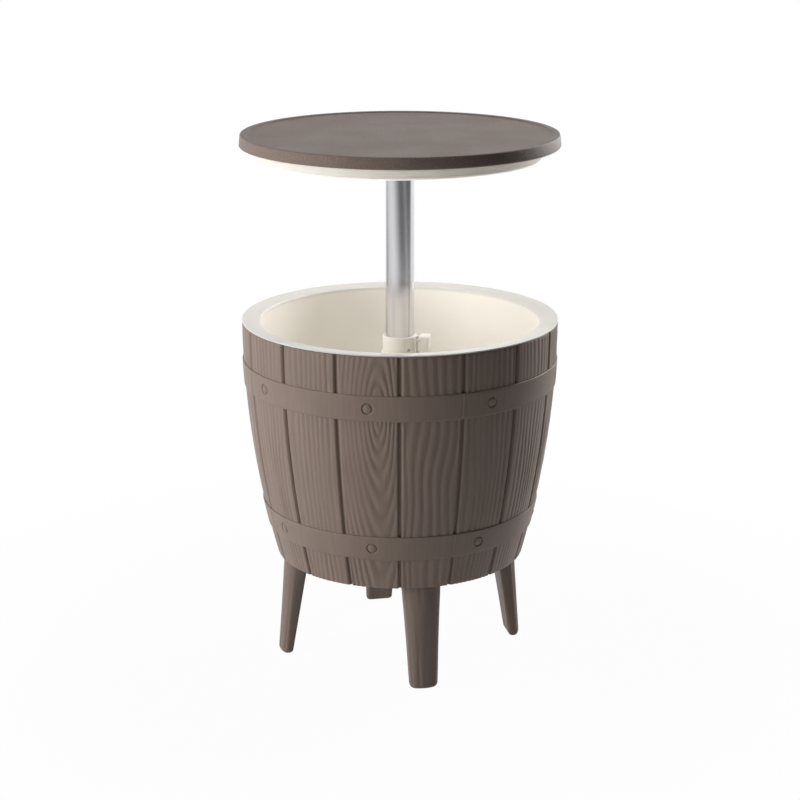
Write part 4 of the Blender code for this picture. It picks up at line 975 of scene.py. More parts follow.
class Screws:
    """Every screw, in groups of one size and place."""

    def __init__(self, finishes: Finishes) -> None:
        """Keep the finishes."""
        self.finishes = finishes

    def build(self) -> None:
        """Make the four groups of screws."""
        long, small = Screw(length=0.0104), Screw(0.0028, 0.0010, 0.0013, 0.0030, 0.0007)
        collar = facing_screws(0.0262, COLLAR_SCREW_ANGLE, COLLAR_SCREW_LEVEL)
        self.group("liner_screw", "barrel", Screw(), screw_ring(SCREW_CIRCLE, 0.1717))
        self.group("flange_screw", "table", long, screw_ring(0.046, 0.8239))
        self.group("collar_screw", "barrel", small, collar)
        self.group("foot_screw", "table", small, facing_screws(0.0252, 26.75, 0.4679))

    def group(self, node: str, body: str, screw: Screw, seats: list[tuple[Vector, Vector]]) -> None:
        """Make one group, which stands for the numbered nodes of its screws."""
        name = node + "s"
        nodes = [f"{node}_{index + 1}" for index in range(len(seats))]
        mesh = Copies(seats, seed=len(name)).mesh(name, screw.mesh(), self.finishes.steel)
        add_piece(name, mesh, body, [self.finishes.steel], nodes)


# ---------------------------------------------------------------- barrel


class GrainKind(Enum):
    """Ways in which a board's grain can run."""

    STRAIGHT = "straight"
    CATHEDRAL = "cathedral"
    WAVY = "wavy"


@dataclass(frozen=True)
class Grain:
    """The wood grain embossed in one stave.

    Attributes:
        kind: How the grain runs.
        seed: Seed of its noise.
        depth: Depth of the soft relief.
    """

    kind: GrainKind
    seed: int
    depth: float

    def rings(self, across: np.ndarray, height: np.ndarray) -> np.ndarray:
        """Count of growth rings at points of the stave.

        Args:
            across: Distance from the stave's middle.
            height: Height of the point.

        Returns:
            A value that grows by one from each grain line to the next.
        """
        broad = SmoothNoise(self.seed)(across / 0.045 + 7.3, height / 0.16 + 3.1)
        fine = SmoothNoise(self.seed + 1)(across / 0.014 + 1.7, height / 0.06 + 9.2)
        if self.kind is GrainKind.CATHEDRAL:
            wide = across - 0.019 + 0.003 * broad + 0.0008 * fine
            wide = np.where(wide < 0, wide, wide * 1.2)
            tall = np.abs(height - SIZES.upper_hoop + 0.014)
            tall = 0.36 * tall / (1.0 + tall / 0.30)
            return np.hypot(wide, tall) / 0.0068 + 0.25 * broad
        if self.kind is GrainKind.WAVY:
            sway = 0.0025 * np.sin(height / 0.026 + across / 0.03) + 0.007 * broad
            return (across + sway + 0.0010 * fine) / 0.0150
        return (across + 0.006 * broad + 0.0012 * fine) / 0.0098

    def strength(self, across: np.ndarray, height: np.ndarray) -> np.ndarray:
        """How strongly the grain shows, from 0 to 1."""
        patch = SmoothNoise(self.seed + 2)(across / 0.025 + 5.5, height / 0.13 + 2.4)
        return np.clip(0.68 + 0.45 * patch, 0.2, 1.0)


@dataclass(frozen=True)
class BarrelSkin:
    """The staves: one closed wall with grooves and grain outside and a smooth inside.

    Attributes:
        groove_depth: Depth of the grooves between the staves.
        groove_half_width: Distance from a groove's middle to where the stave is full.
        board_columns: Columns across a stave between its grooves.
        row_step: Distance between the rows.
        hidden: How far the grooves and the grain run on under a hoop.
        groove_offsets: Distances of a groove's columns from its middle.
        groove_shares: Share of the groove's depth at each of them.
    """

    groove_depth: float = 0.0044
    groove_half_width: float = 0.0050
    board_columns: int = 46
    row_step: float = 0.0040
    hidden: float = 0.004
    groove_offsets: tuple[float, ...] = (0.0006, 0.0014, 0.0020, 0.0030, 0.0042)
    groove_shares: tuple[float, ...] = (1.0, 0.96, 0.62, 0.38, 0.10)

    def columns(self) -> tuple[np.ndarray, np.ndarray]:
        """Columns of one stave, from its groove's middle to the next.

        Returns:
            Distances from the groove before the stave, and the share of the groove's depth there.
        """
        width = SIZES.barrel_radius * math.radians(STAVE_ANGLE)
        near = np.array(self.groove_offsets)
        share = np.array(self.groove_shares)
        board = np.linspace(self.groove_half_width, width - self.groove_half_width, self.board_columns)
        places = np.concatenate([near, board, width - near[::-1]])
        depths = np.concatenate([share, np.zeros(self.board_columns), share[::-1]])
        return places, depths

    def rows(self) -> tuple[np.ndarray, np.ndarray]:
        """Heights of the outside's rows from top to bottom, and how far each stands back."""
        half = SIZES.hoop_width / 2 - self.hidden
        top = SIZES.shell_top
        rows = [(top, 0.0009), (top - 0.0004, 0.0003), (top - 0.0010, 0.0)]
        top -= 0.0010
        for hoop in (SIZES.upper_hoop, SIZES.lower_hoop, None):
            low = SIZES.barrel_bottom + 0.0015 if hoop is None else hoop + half
            count = round((top - low) / self.row_step)
            rows += [(height, 0.0) for height in np.linspace(top, low, count + 1)[1:]]
            if hoop is not None:
                top = hoop - half
                rows.append((top, 0.0))
        rows += [(SIZES.barrel_bottom + 0.0005, 0.0004), (SIZES.barrel_bottom, 0.0013)]
        heights, backs = np.array(rows).T
        return heights, backs

    def mesh(self) -> bpy.types.Mesh:
        """Build the wall's mesh, with the grain's rings and strength stored on it."""
        places, depths = self.columns()
        heights, backs = self.rows()
        kinds = (
            (GrainKind.WAVY, 0.0012), (GrainKind.STRAIGHT, 0.0014),
            (GrainKind.STRAIGHT, 0.0009), (GrainKind.CATHEDRAL, 0.0011),
        )
        half = SIZES.barrel_radius * math.radians(STAVE_ANGLE) / 2
        across, height = np.meshgrid(places - half, heights)
        face = (SIZES.stave_radius(heights) - backs)[:, None] - self.groove_depth * depths[None, :]
        near, far = self.groove_half_width - 0.0008, self.groove_half_width + 0.004
        edge = smooth_step(near, far, half - np.abs(across))
        staves: list[tuple[np.ndarray, np.ndarray, np.ndarray]] = []
        for stave in range(STAVE_COUNT):
            kind, depth = kinds[stave % len(kinds)]
            grain = Grain(kind, 11 + 7 * stave, depth)
            ring = grain.rings(across, height)
            strength = grain.strength(across, height) * edge
            relief = grain.depth * (0.5 - 0.5 * np.cos(2 * math.pi * ring)) * strength
            staves.append((face - relief, ring, strength))
        outside, ring, strength = (np.concatenate(parts, axis=1) for parts in zip(*staves))
        starts = np.radians((np.arange(STAVE_COUNT) - 0.5) * STAVE_ANGLE)
        angle = (starts[:, None] + places / SIZES.barrel_radius).reshape(-1)
        inside_heights = np.array([SIZES.barrel_bottom, 0.22, 0.34, 0.45, SIZES.shell_top])
        inside = (SIZES.stave_radius(inside_heights) - SIZES.wall)[:, None]
        blank = np.zeros((len(inside), len(angle)))
        radius = np.concatenate([outside, inside + blank])
        points = around(radius, angle, np.concatenate([heights, inside_heights])[:, None])
        mesh = grid_mesh("barrel_skin", points, closed_rows=True, tidy=False)
        for name, values in (("rings", ring), ("grain", strength)):
            layer = mesh.attributes.new(name, "FLOAT", "POINT")
            layer.data.foreach_set("value", np.concatenate([values, blank]).reshape(-1).astype(np.float32))
        return mesh


@dataclass(frozen=True)
class Hoop:
    """A raised band around the staves, with eight low rivet heads in sunk rings.

    Attributes:
        level: Height of its middle.
        sunk: How far its inside lies behind the staves' face.
        fine_step: Distance between rows, and between columns, at a rivet.
        rivet_angle: Angle of the first rivet. The others follow at eighths of a turn.
        rivet_radii: Distances from a rivet's middle.
        rivet_levels: How far the surface stands out of the hoop at each of them.
        parting_angle: Angle of the first of the mould's parting lines, a quarter turn apart.
        parting_proud: How far a parting line stands out.
    """

    level: float
    sunk: float = 0.005
    fine_step: float = 0.00048
    rivet_angle: float = 22.5
    rivet_radii: tuple[float, ...] = (
        0.0, 0.0021, 0.0042, 0.0057, 0.0063, 0.0070, 0.0076, 0.0082, 0.0087, 0.0092
    )
    rivet_levels: tuple[float, ...] = (
        0.0008, 0.0007, 0.0003, -0.0002, -0.0008, -0.0015, -0.0018, -0.0016, -0.0006, 0.0
    )
    parting_angle: float = -78.75
    parting_proud: float = 0.0004

    def columns(self, radius: float) -> np.ndarray:
        """Angles of the columns, close together at the rivets and the parting lines."""
        fine = np.arange(-20, 21) * self.fine_step / radius
        eighth = math.radians(45.0)
        coarse = np.linspace(fine[-1], eighth - fine[-1], 18)[1:-1]
        starts = [np.radians(self.rivet_angle) + eighth * index for index in range(8)]
        turns = [start + near for start in starts for near in (fine, coarse)]
        line = np.array([-0.0007, 0.0, 0.0007]) / radius
        turns += [math.radians(self.parting_angle + 90.0 * index) + line for index in range(4)]
        return np.unique(np.round(np.concatenate(turns) % (2 * math.pi), 6))

    def rows(self) -> tuple[np.ndarray, np.ndarray]:
        """Heights of the rows from top to bottom, and how far each stands out of the staves."""
        half, proud = SIZES.hoop_width / 2, SIZES.hoop_proud
        edge = [(half, -self.sunk), (half, 0.0), (half - 0.0001, proud * 0.5), (half - 0.0005, proud * 0.88),
                (half - 0.0012, proud), (half - 0.004, proud), (half - 0.008, proud)]
        fine = [(place * self.fine_step, proud) for place in range(20, -21, -1)]
        rows = edge + fine + [(-place, out) for place, out in reversed(edge)]
        places, outs = np.array(rows).T
        return places + self.level, outs

    @staticmethod
    def from_nearest(angles: np.ndarray, first: float, step: float) -> np.ndarray:
        """Turns in radians from the nearest of some marks, which follow the first at a step in degrees."""
        first, step = math.radians(first), math.radians(step)
        return (angles - first + step / 2) % step - step / 2

    def mesh(self, name: str) -> bpy.types.Mesh:
        """Build the hoop's mesh."""
        heights, outs = self.rows()
        middle = float(SIZES.stave_radius(self.level)) + SIZES.hoop_proud
        angles = self.columns(middle)
        rivet = self.from_nearest(angles, self.rivet_angle, 45.0)
        away = np.hypot(rivet[None, :] * middle, heights[:, None] - self.level)
        relief = np.interp(away, self.rivet_radii, self.rivet_levels)
        line = self.from_nearest(angles, self.parting_angle, 90.0)
        relief += self.parting_proud * (np.abs(line) * middle < 0.0002)[None, :]
        relief *= (outs > 0)[:, None]
        radius = (SIZES.stave_radius(heights) + outs)[:, None] + relief
        points = around(radius, angles, heights[:, None])
        return grid_mesh(name, points, closed_rows=True, sharp=50, tidy=False)


class Barrel:
    """The staves, their hoops and the floor."""

    def __init__(self, finishes: Finishes) -> None:
        """Keep the finishes."""
        self.finishes = finishes

    def build(self) -> None:
        """Make the barrel's pieces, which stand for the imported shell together."""
        self.add("barrel_skin", BarrelSkin().mesh(), self.finishes.staves)
        for name, level in (("upper_hoop", SIZES.upper_hoop), ("lower_hoop", SIZES.lower_hoop)):
            self.add(name, Hoop(level).mesh(name), self.finishes.hoops)
        self.add("barrel_floor", self.floor(), self.finishes.skirt)

    @staticmethod
    def add(name: str, mesh: bpy.types.Mesh, material: bpy.types.Material) -> None:
        """Add one of the shell's pieces."""
        add_piece(name, mesh, "barrel", [material], ["barrel_shell"])

    def floor(self) -> bpy.types.Mesh:
        """Make the floor with the legs' sockets and the holes for the screws and the drain."""
        low, high = SIZES.floor_underside, SIZES.floor_top
        reach = float(SIZES.stave_radius(low)) - SIZES.wall + 0.0008
        profile = [(0.0, high), (reach, high), (reach, low), (0.0, low)]
        carver = Carver(turned("floor", profile, 96, closed=False))
        leg = Leg()
        inner, outer, side = leg.tongue_box()
        socket_wall, play, screw_hole = 0.0028, 0.0003, 0.0022
        for change, more, bottom in ((carver.join, socket_wall, low + 0.001), (carver.cut, play, low - 0.01)):
            for index in range(4):
                start = (inner - more, -side - more, bottom)
                change(box_mesh(start, (outer + more, side + more, leg.tongue_top + more), 90.0 * index))
        for seat, _ in screw_ring(SCREW_CIRCLE, low):
            carver.cut(hole_mesh(seat, screw_hole))
        carver.cut(hole_mesh(at_angle(DRAIN_CIRCLE, DRAIN_ANGLE, low), DRAIN_HOLE))
        return carver.bake("barrel_floor")


# ---------------------------------------------------------------- liner


@dataclass(frozen=True)
class Liner:
    """The white liner: rim, tub, floor and the tower that carries the column.

    Attributes:
        finishes: The cooler's materials.
        wall: Thickness of the liner.
        rim_edge: Height of the rim's outer edge.
        rim_drop: How far the rim falls towards the mouth.
        floor: Height of the tub's floor.
        floor_radius: Radius of the floor, before its rounding.
        floor_fillet: Rounding between the wall and the floor.
        mouth_fillet: Rounding between the rim and the wall.
        sides: Columns around.
    """

    finishes: Finishes
    wall: float = 0.0025
    rim_edge: float = 0.0021
    rim_drop: float = 0.0030
    floor: float = 0.240
    floor_radius: float = 0.19195
    floor_fillet: float = 0.012
    mouth_fillet: float = 0.004
    sides: int = 192

    def wall_radius(self, height: float) -> float:
        """Inner radius of the tub at a height."""
        mouth = SIZES.rim_height - self.rim_drop - self.mouth_fillet
        share = (mouth - height) / (mouth - self.floor)
        return SIZES.mouth_radius - (SIZES.mouth_radius - self.floor_radius) * share**2

    def profile(self) -> list[Point]:
        """Profile of the liner, closed on itself."""
        rim = SIZES.rim_height
        outer = SIZES.barrel_radius
        under = rim - self.rim_edge
        rib = outer - SIZES.wall - 0.0012
        mouth_edge = rim - self.rim_drop
        fillet_top = self.floor + self.floor_fillet
        under_floor = self.floor - self.wall
        tower, tower_top, bore, bore_top, shoulder = 0.0335, 0.0303, 0.0268, 0.4865, 0.4905
        flange, flange_low, flange_high = 0.047, 0.1753, 0.1793
        neck_bore, neck, neck_top = 0.0228, 0.0248, 0.512
        heights = list(np.linspace(mouth_edge - self.mouth_fillet, fillet_top, 14))
        corners: list[Corner] = [
            (outer, rim, 0.0021), (outer, under, 0.0003), (rib, under, 0.0002),
            (rib, under - 0.008, 0.0004), (rib - self.wall, under - 0.008, 0.0004),
            (rib - self.wall, rim - 0.0045, 0.0006), (SIZES.mouth_radius + self.wall, rim - 0.0062, 0.0010),
        ]
        corners += [(self.wall_radius(height) + self.wall, height, 0.0) for height in heights]
        corners += [
            (self.wall_radius(fillet_top) + self.wall, under_floor, self.floor_fillet),
            (tower, under_floor, 0.001), (tower, flange_high, 0.0008), (flange, flange_high, 0.0006),
            (flange, flange_low, 0.0004), (bore, flange_low, 0.0004), (bore, bore_top, 0.0006),
            (neck_bore, bore_top, 0.0004), (neck_bore, neck_top, 0.0004), (neck, neck_top, 0.0004),
            (neck, shoulder, 0.0006), (tower_top, shoulder, 0.0016), (tower, self.floor, 0.005),
            (self.wall_radius(fillet_top), self.floor, self.floor_fillet),
        ]
        corners += [(self.wall_radius(height), height, 0.0) for height in reversed(heights)]
        corners.append((SIZES.mouth_radius, mouth_edge, self.mouth_fillet))
        return filleted(corners, steps=6)

    def build(self) -> None:
        """Make the liner with its drain hole."""
        carver = Carver(turned("liner_tub", self.profile(), self.sides, sharp=50))
        carver.cut(hole_mesh(at_angle(DRAIN_CIRCLE, DRAIN_ANGLE, self.floor), DRAIN_HOLE))
        mesh = carver.bake("liner_tub", sharp=50)
        add_piece("liner_tub", mesh, "barrel", [self.finishes.liner], ["liner"])


# ---------------------------------------------------------------- table


@dataclass(frozen=True)
class Table:
    """The table: its tray, the cover under it and the column tube.

    Attributes:
        finishes: The cooler's materials.
        skirt_bottom: Lower edge of the skirt.
        draft: How far the skirt draws in towards its top.
        skirt_wall: Thickness of the skirt.
        rim_width: Width of the tray's rim.
        tray_depth: Depth of the tray.
        underside: Underside of the tray's skin.
        sides: Columns around.
    """

    finishes: Finishes
    skirt_bottom: float = 0.8225
    draft: float = 0.0020
    skirt_wall: float = 0.0030
    rim_width: float = 0.0105
    tray_depth: float = 0.0015
    underside: float = 0.8355
    sides: int = 224

    def build(self) -> None:
        """Make the table's pieces."""
        self.build_tray()
        self.build_cover()
        self.build_tube()

    def build_tray(self) -> None:
        """Make the tray with its rim and its skirt."""
        top = SIZES.open_height
        outer = SIZES.table_radius
        inner = outer - self.draft
        tray = inner - self.rim_width
        sunk = top - self.tray_depth
        corners: list[Corner] = [
            (0.0, sunk, 0.0), (0.12, sunk, 0.0), (tray - 0.0020, sunk, 0.0012),
            (tray, top, 0.0012), (inner, top, 0.0020), (outer, self.skirt_bottom, 0.0014),
            (outer - self.skirt_wall, self.skirt_bottom, 0.0008),
            (inner - self.skirt_wall, self.underside, 0.002), (0.0, self.underside, 0.0),
        ]
        profile = filleted(corners, closed=False, steps=5)
        mesh = turned("table_tray", profile, self.sides, closed=False, sharp=60)
        for face in mesh.polygons:
            on_top = face.center.z > top - 0.0012 or face.normal.z > 0.9
            face.material_index = 0 if on_top and face.center.z > self.underside + 0.001 else 1
        materials = [self.finishes.table, self.finishes.skirt]
        add_piece("table_tray", mesh, "table", materials, ["table_top"])

    def build_cover(self) -> None:
        """Make the white dish under the tray."""
        plug = SIZES.mouth_radius - 0.0010
        wall, hole = 0.0025, 0.0230
        top, under, shoulder, bottom = 0.8222, 0.8208, 0.8180, 0.8018
        edge = SIZES.table_radius - 0.0023
        rib = SIZES.table_radius - self.skirt_wall - 0.0018
        rib_inside, rib_top = rib - 0.002, top + 0.006
        corners: list[Corner] = [
            (rib, rib_top, 0.0005), (rib, top, 0.0), (edge, top, 0.0003), (edge, under, 0.0005),
            (plug + 0.0028, under, 0.0012), (plug, shoulder, 0.0012), (plug, bottom, 0.0062),
            (hole, bottom, 0.0008), (hole, bottom + wall, 0.0), (plug - wall, bottom + wall, 0.004),
            (plug - wall, top, 0.0), (rib_inside, top, 0.0), (rib_inside, rib_top, 0.0005),
        ]
        mesh = turned("cover_dish", filleted(corners, steps=6), self.sides, sharp=50)
        add_piece("cover_dish", mesh, "table", [self.finishes.white], ["lid_cover"])

    def build_tube(self) -> None:
        """Make the column tube with its key groove."""
        radius = SIZES.tube_radius
        low, high = 0.4522, 0.8249
        wall, chamfer, groove_depth = 0.0022, 0.0003, 0.0012
        half = np.array([0.0, 1.1, 1.25, 1.35, 1.55, 1.9]) / 1000
        shares = np.array([1.0, 1.0, 0.85, 0.2, 0.04, 0.0])
        groove = np.concatenate([-half[:0:-1], half]) / radius
        rest = np.linspace(0.0, 2 * math.pi - 2 * half[-1] / radius, 118)[1:-1] + half[-1] / radius
        angle = np.concatenate([groove, rest]) + math.radians(KEY_ANGLE)
        depth = np.concatenate([shares[:0:-1], shares, np.zeros(len(rest))]) * groove_depth
        heights = [high - chamfer, *np.linspace(high - 0.001, low + 0.001, 9), low + chamfer]
        outer = [(high, chamfer), *[(height, 0.0) for height in heights], (low, chamfer)]
        rows = [around(radius - inset - depth, angle, height) for height, inset in outer]
        rows += [around(radius - wall, angle, height) for height in (low, high)]
        mesh = grid_mesh("column_pipe", np.array(rows), closed_rows=True, sharp=40)
        add_piece("column_pipe", mesh, "table", [self.finishes.column], ["column_tube"])


# ---------------------------------------------------------------- legs


@dataclass(frozen=True)
class Leg:
    """A tapered leg with a bowed outer face, whose tongue plugs into the barrel.

    Attributes:
        top: Height of the leg's shoulder.
        top_outer: Outer radius at the shoulder.
        foot_outer: Outer radius at the foot.
        top_width: Width at the shoulder.
        foot_width: Width at the foot.
        top_thickness: Thickness at the shoulder.
        foot_thickness: Thickness at the foot.
        bow_share: Share of the thickness by which the outer face bows.
        rounding: Rounding of the inner face's edges.
        foot_rounding: Rounding of the foot's lower edge.
        tongue_inset: Distance of the tongue from the inner face.
        tongue_side_inset: Distance of the tongue from the leg's sides.
        tongue_top: Top of the tongue.
        streak_depth: Depth of the embossed streaks.
    """

    top: float = 0.1717
    top_outer: float = 0.18848
    foot_outer: float = 0.20048
    top_width: float = 0.0606
    foot_width: float = 0.0435
    top_thickness: float = 0.0355
    foot_thickness: float = 0.0195
    bow_share: float = 0.6
    rounding: float = 0.0040
    foot_rounding: float = 0.0064
    tongue_inset: float = 0.0035
    tongue_side_inset: float = 0.006
    tongue_top: float = 0.212
    streak_depth: float = 0.00055

    def section(self, height: float) -> tuple[np.ndarray, float, float]:
        """Section of the leg at a height.

        Args:
            height: The height.

        Returns:
            Its points, outwards and sideways, its thickness and its width.
        """
        share = height / self.top
        outer = self.foot_outer + (self.top_outer - self.foot_outer) * share
        width = self.foot_width + (self.top_width - self.foot_width) * share
        thickness = self.foot_thickness + (self.top_thickness - self.foot_thickness) * share
        side, inner, bow = width / 2, outer - thickness, thickness * self.bow_share
        turn = np.radians(np.linspace(0.0, 90.0, 7))
        edges = (inner + self.rounding * (1 - np.cos(turn)), side - self.rounding * (1 - np.sin(turn)))
        corner = np.stack(edges, axis=1)
        turn = np.radians(np.linspace(0.0, 90.0, 23))
        face = np.stack([outer - bow * (1 - np.sin(turn)), side * np.cos(turn)], axis=1)
        half = np.concatenate([corner, face])
        back = np.linspace(self.rounding - side, side - self.rounding, 14)[1:-1]
        back = np.stack([np.full(len(back), inner), back], axis=1)
        return np.concatenate([half, half[-2::-1] * (1.0, -1.0), back]), thickness, width

    def tongue_box(self) -> tuple[float, float, float]:
        """Inner and outer distance of the tongue from the column's axis, and half its width."""
        inner = self.top_outer - self.top_thickness + self.tongue_inset
        outer = self.top_outer - self.top_thickness * self.bow_share / 2
        return inner, outer, self.top_width / 2 - self.tongue_side_inset

    def tongue(self, count: int) -> np.ndarray:
        """Points around the tongue, as many as the leg's section has."""
        inner, outer, side = self.tongue_box()
        corners = np.array([(inner, side), (outer, side), (outer, -side), (inner, -side), (inner, side)])
        lengths = np.concatenate([[0.0], np.cumsum(np.linalg.norm(np.diff(corners, axis=0), axis=1))])
        places = np.linspace(0.0, lengths[-1], count, endpoint=False)
        return np.stack([np.interp(places, lengths, corners[:, axis]) for axis in (0, 1)], axis=1)

    def mesh(self, name: str, angle: float, seed: int) -> bpy.types.Mesh:
        """Build the leg's mesh at its angle around the column."""
        foot, edge = self.foot_rounding, 0.0015
        turns = [(math.sin(turn), math.cos(turn)) for turn in np.radians(np.arange(7) * 15)]
        rows: list[Point] = [(foot - foot * cosine, foot - foot * sine) for sine, cosine in turns]
        rows += [(height, 0.0) for height in np.linspace(foot + 0.004, self.top - edge - 0.004, 34)]
        rows += [(self.top - edge + edge * cosine, edge - edge * sine) for sine, cosine in turns[::-1]]
        streaks = SmoothNoise(seed)
        result = []
        for height, inset in rows:
            outline, thickness, width = self.section(height)
            count = len(outline)
            along = np.roll(outline, -1, axis=0) - np.roll(outline, 1, axis=0)
            outwards = along[:, ::-1] * (-1.0, 1.0) / np.linalg.norm(along, axis=1, keepdims=True)
            across = np.arange(count) * 0.35
            relief = streaks(across, np.full(count, height / 0.09)) * self.streak_depth * (inset == 0)
            middle = np.array([outline[:, 0].min() + thickness / 2, 0.0])
            shrink = np.array([1 - 2 * inset / thickness, 1 - 2 * inset / width])
            place = middle + (outline - middle) * shrink + outwards * relief[:, None]
            result.append(np.column_stack([place, np.full(count, height)]))
        for height in (self.top, self.tongue_top):
            result.append(np.column_stack([self.tongue(count), np.full(count, height)]))
        ends = [np.repeat(row.mean(axis=0, keepdims=True), count, axis=0) for row in (result[0], result[-1])]
        return grid_mesh(name, spun(np.array([ends[0], *result, ends[1]]), angle), sharp=50)


class Legs:
    """The four legs."""

    NAMES = ("leg_right", "leg_back", "leg_left", "leg_front")

    def __init__(self, finishes: Finishes) -> None:
        """Keep the finishes."""
        self.finishes = finishes

    def build(self) -> None:
        """Make the legs, a quarter turn apart."""
        for index, node in enumerate(self.NAMES):
            mesh = Leg().mesh(node + "_moulding", index * 90.0, seed=301 + index)
            add_piece(node + "_moulding", mesh, "barrel", [self.finishes.legs], [node])


# ---------------------------------------------------------------- collar, lever and drain


@dataclass(frozen=True)
class Collar:
    """The guide ring on the tower, with the lever's bracket, and the lock lever.

    Attributes:
        finishes: The cooler's materials.
        angle: Angle of the lever around the column.
        bottom: Lower face of the collar.
        top: Upper face of the collar.
        radius: Outer radius of the ring.
        pad_face: Distance of the bracket's pad from the column's axis.
        pad_low: Lower edge of the pad.
        pin_out: Distance of the pin from the column's axis.
        pin_level: Height of the pin.
        pin_hole: Radius of the hole for the pin.
        nose: Lower edge of the lever's nose.
    """

    finishes: Finishes
    angle: float = -21.25
    bottom: float = 0.4908
    top: float = 0.5203
    radius: float = 0.0272
    pad_face: float = 0.0285
    pad_low: float = 0.4960
    pin_out: float = 0.0325
    pin_level: float = 0.5143
    pin_hole: float = 0.0016
    nose: float = 0.5058

    def build(self) -> None:
        """Make the collar and the lever."""
        white = [self.finishes.white]
        add_piece("guide_collar", self.ring(), "barrel", white, ["column_collar"])
        add_piece("lock_paddle", self.lever(), "lever", white, ["lock_lever"])

    def block(self, low: Corner, high: Corner, rounding: float = 0.0) -> bpy.types.Mesh:
        """A box between two corners, turned to the lever's angle."""
        return box_mesh(low, high, self.angle, rounding)

    def pin(self, middle: float, reach: float, radius: float, sides: int) -> bpy.types.Mesh:
        """A bar along the pin's axis, which reaches as far to both sides of its middle."""
        ends = [(self.pin_out, middle + side, self.pin_level) for side in (-reach, reach)]
        return rod_mesh(*ends, radius, sides, self.angle)

    def ring(self) -> bpy.types.Mesh:
        """Make the ring, its bracket and its key tooth."""
        foot = 0.0300
        outer = filleted([
            (0.0, self.top, 0.0), (self.radius, self.top, 0.0012), (self.radius, self.pad_low, 0.0016),
            (foot, 0.4938, 0.0012), (foot, self.bottom, 0.0006), (0.0, self.bottom, 0.0),
        ], closed=False, steps=4)
        inside, half, lug = 0.0231, 0.0015, 0.003
        guide_bore, neck_bore, step = 0.0228, 0.0251, 0.5123
        bore = [
            (0.0, self.top + 0.01), (guide_bore, self.top + 0.01), (guide_bore, step),
            (neck_bore, step), (neck_bore, self.bottom - 0.01), (0.0, self.bottom - 0.01),
        ]
        carver = Carver(turned("collar", outer, 96, closed=False))
        carver.join(self.block((inside, -0.0125, self.pad_low), (self.pad_face, 0.0125, 0.5125), 0.0006))
        for side in (-0.0085, 0.0085):
            low = (inside, side - half, self.pin_level - lug)
            carver.join(self.block(low, (self.pin_out, side + half, self.pin_level + lug)))
            carver.join(self.pin(side, half, lug, 28))
        carver.cut(turned("bore", bore, 96, closed=False))
        carver.cut(self.block((0.0185, -0.0066, 0.5010), (0.0325, -0.0004, 0.5115)))
        carver.cut(self.pin(0.0, 0.017, self.pin_hole, 20))
        level = COLLAR_SCREW_LEVEL
        for turn in (COLLAR_SCREW_ANGLE, COLLAR_SCREW_ANGLE + 180.0):
            for start, end, radius, sides in ((0.0185, 0.0262, 0.0016, 20), (0.0259, 0.0320, 0.0031, 28)):
                carver.cut(rod_mesh((start, 0.0, level), (end, 0.0, level), radius, sides, turn))
        carver.join(box_mesh((0.0217, -0.0009, 0.5126), (0.0262, 0.0009, 0.5193), KEY_ANGLE))
        return carver.bake("guide_collar")

    def lever(self) -> bpy.types.Mesh:
        """Make the hollow paddle with its web and nose."""
        low, high = 0.4973, 0.5208
        carver = Carver(self.block((0.0295, -0.013, low), (0.0470, 0.013, high), 0.0013))
        carver.cut(self.block((0.0255, -0.0103, low - 0.004), (0.0443, 0.0103, 0.5183)))
        carver.cut(self.block((0.0255, -0.017, 0.51705), (0.0318, 0.017, 0.5248)))
        carver.join(self.block((0.0305, -0.0060, self.nose), (0.0360, -0.0010, 0.51955)))
        carver.join(self.block((0.0230, -0.0060, self.nose), (self.pin_out, -0.0010, 0.5103)))
        carver.cut(self.pin(0.0, 0.017, self.pin_hole, 20))
        return carver.bake("lock_paddle")


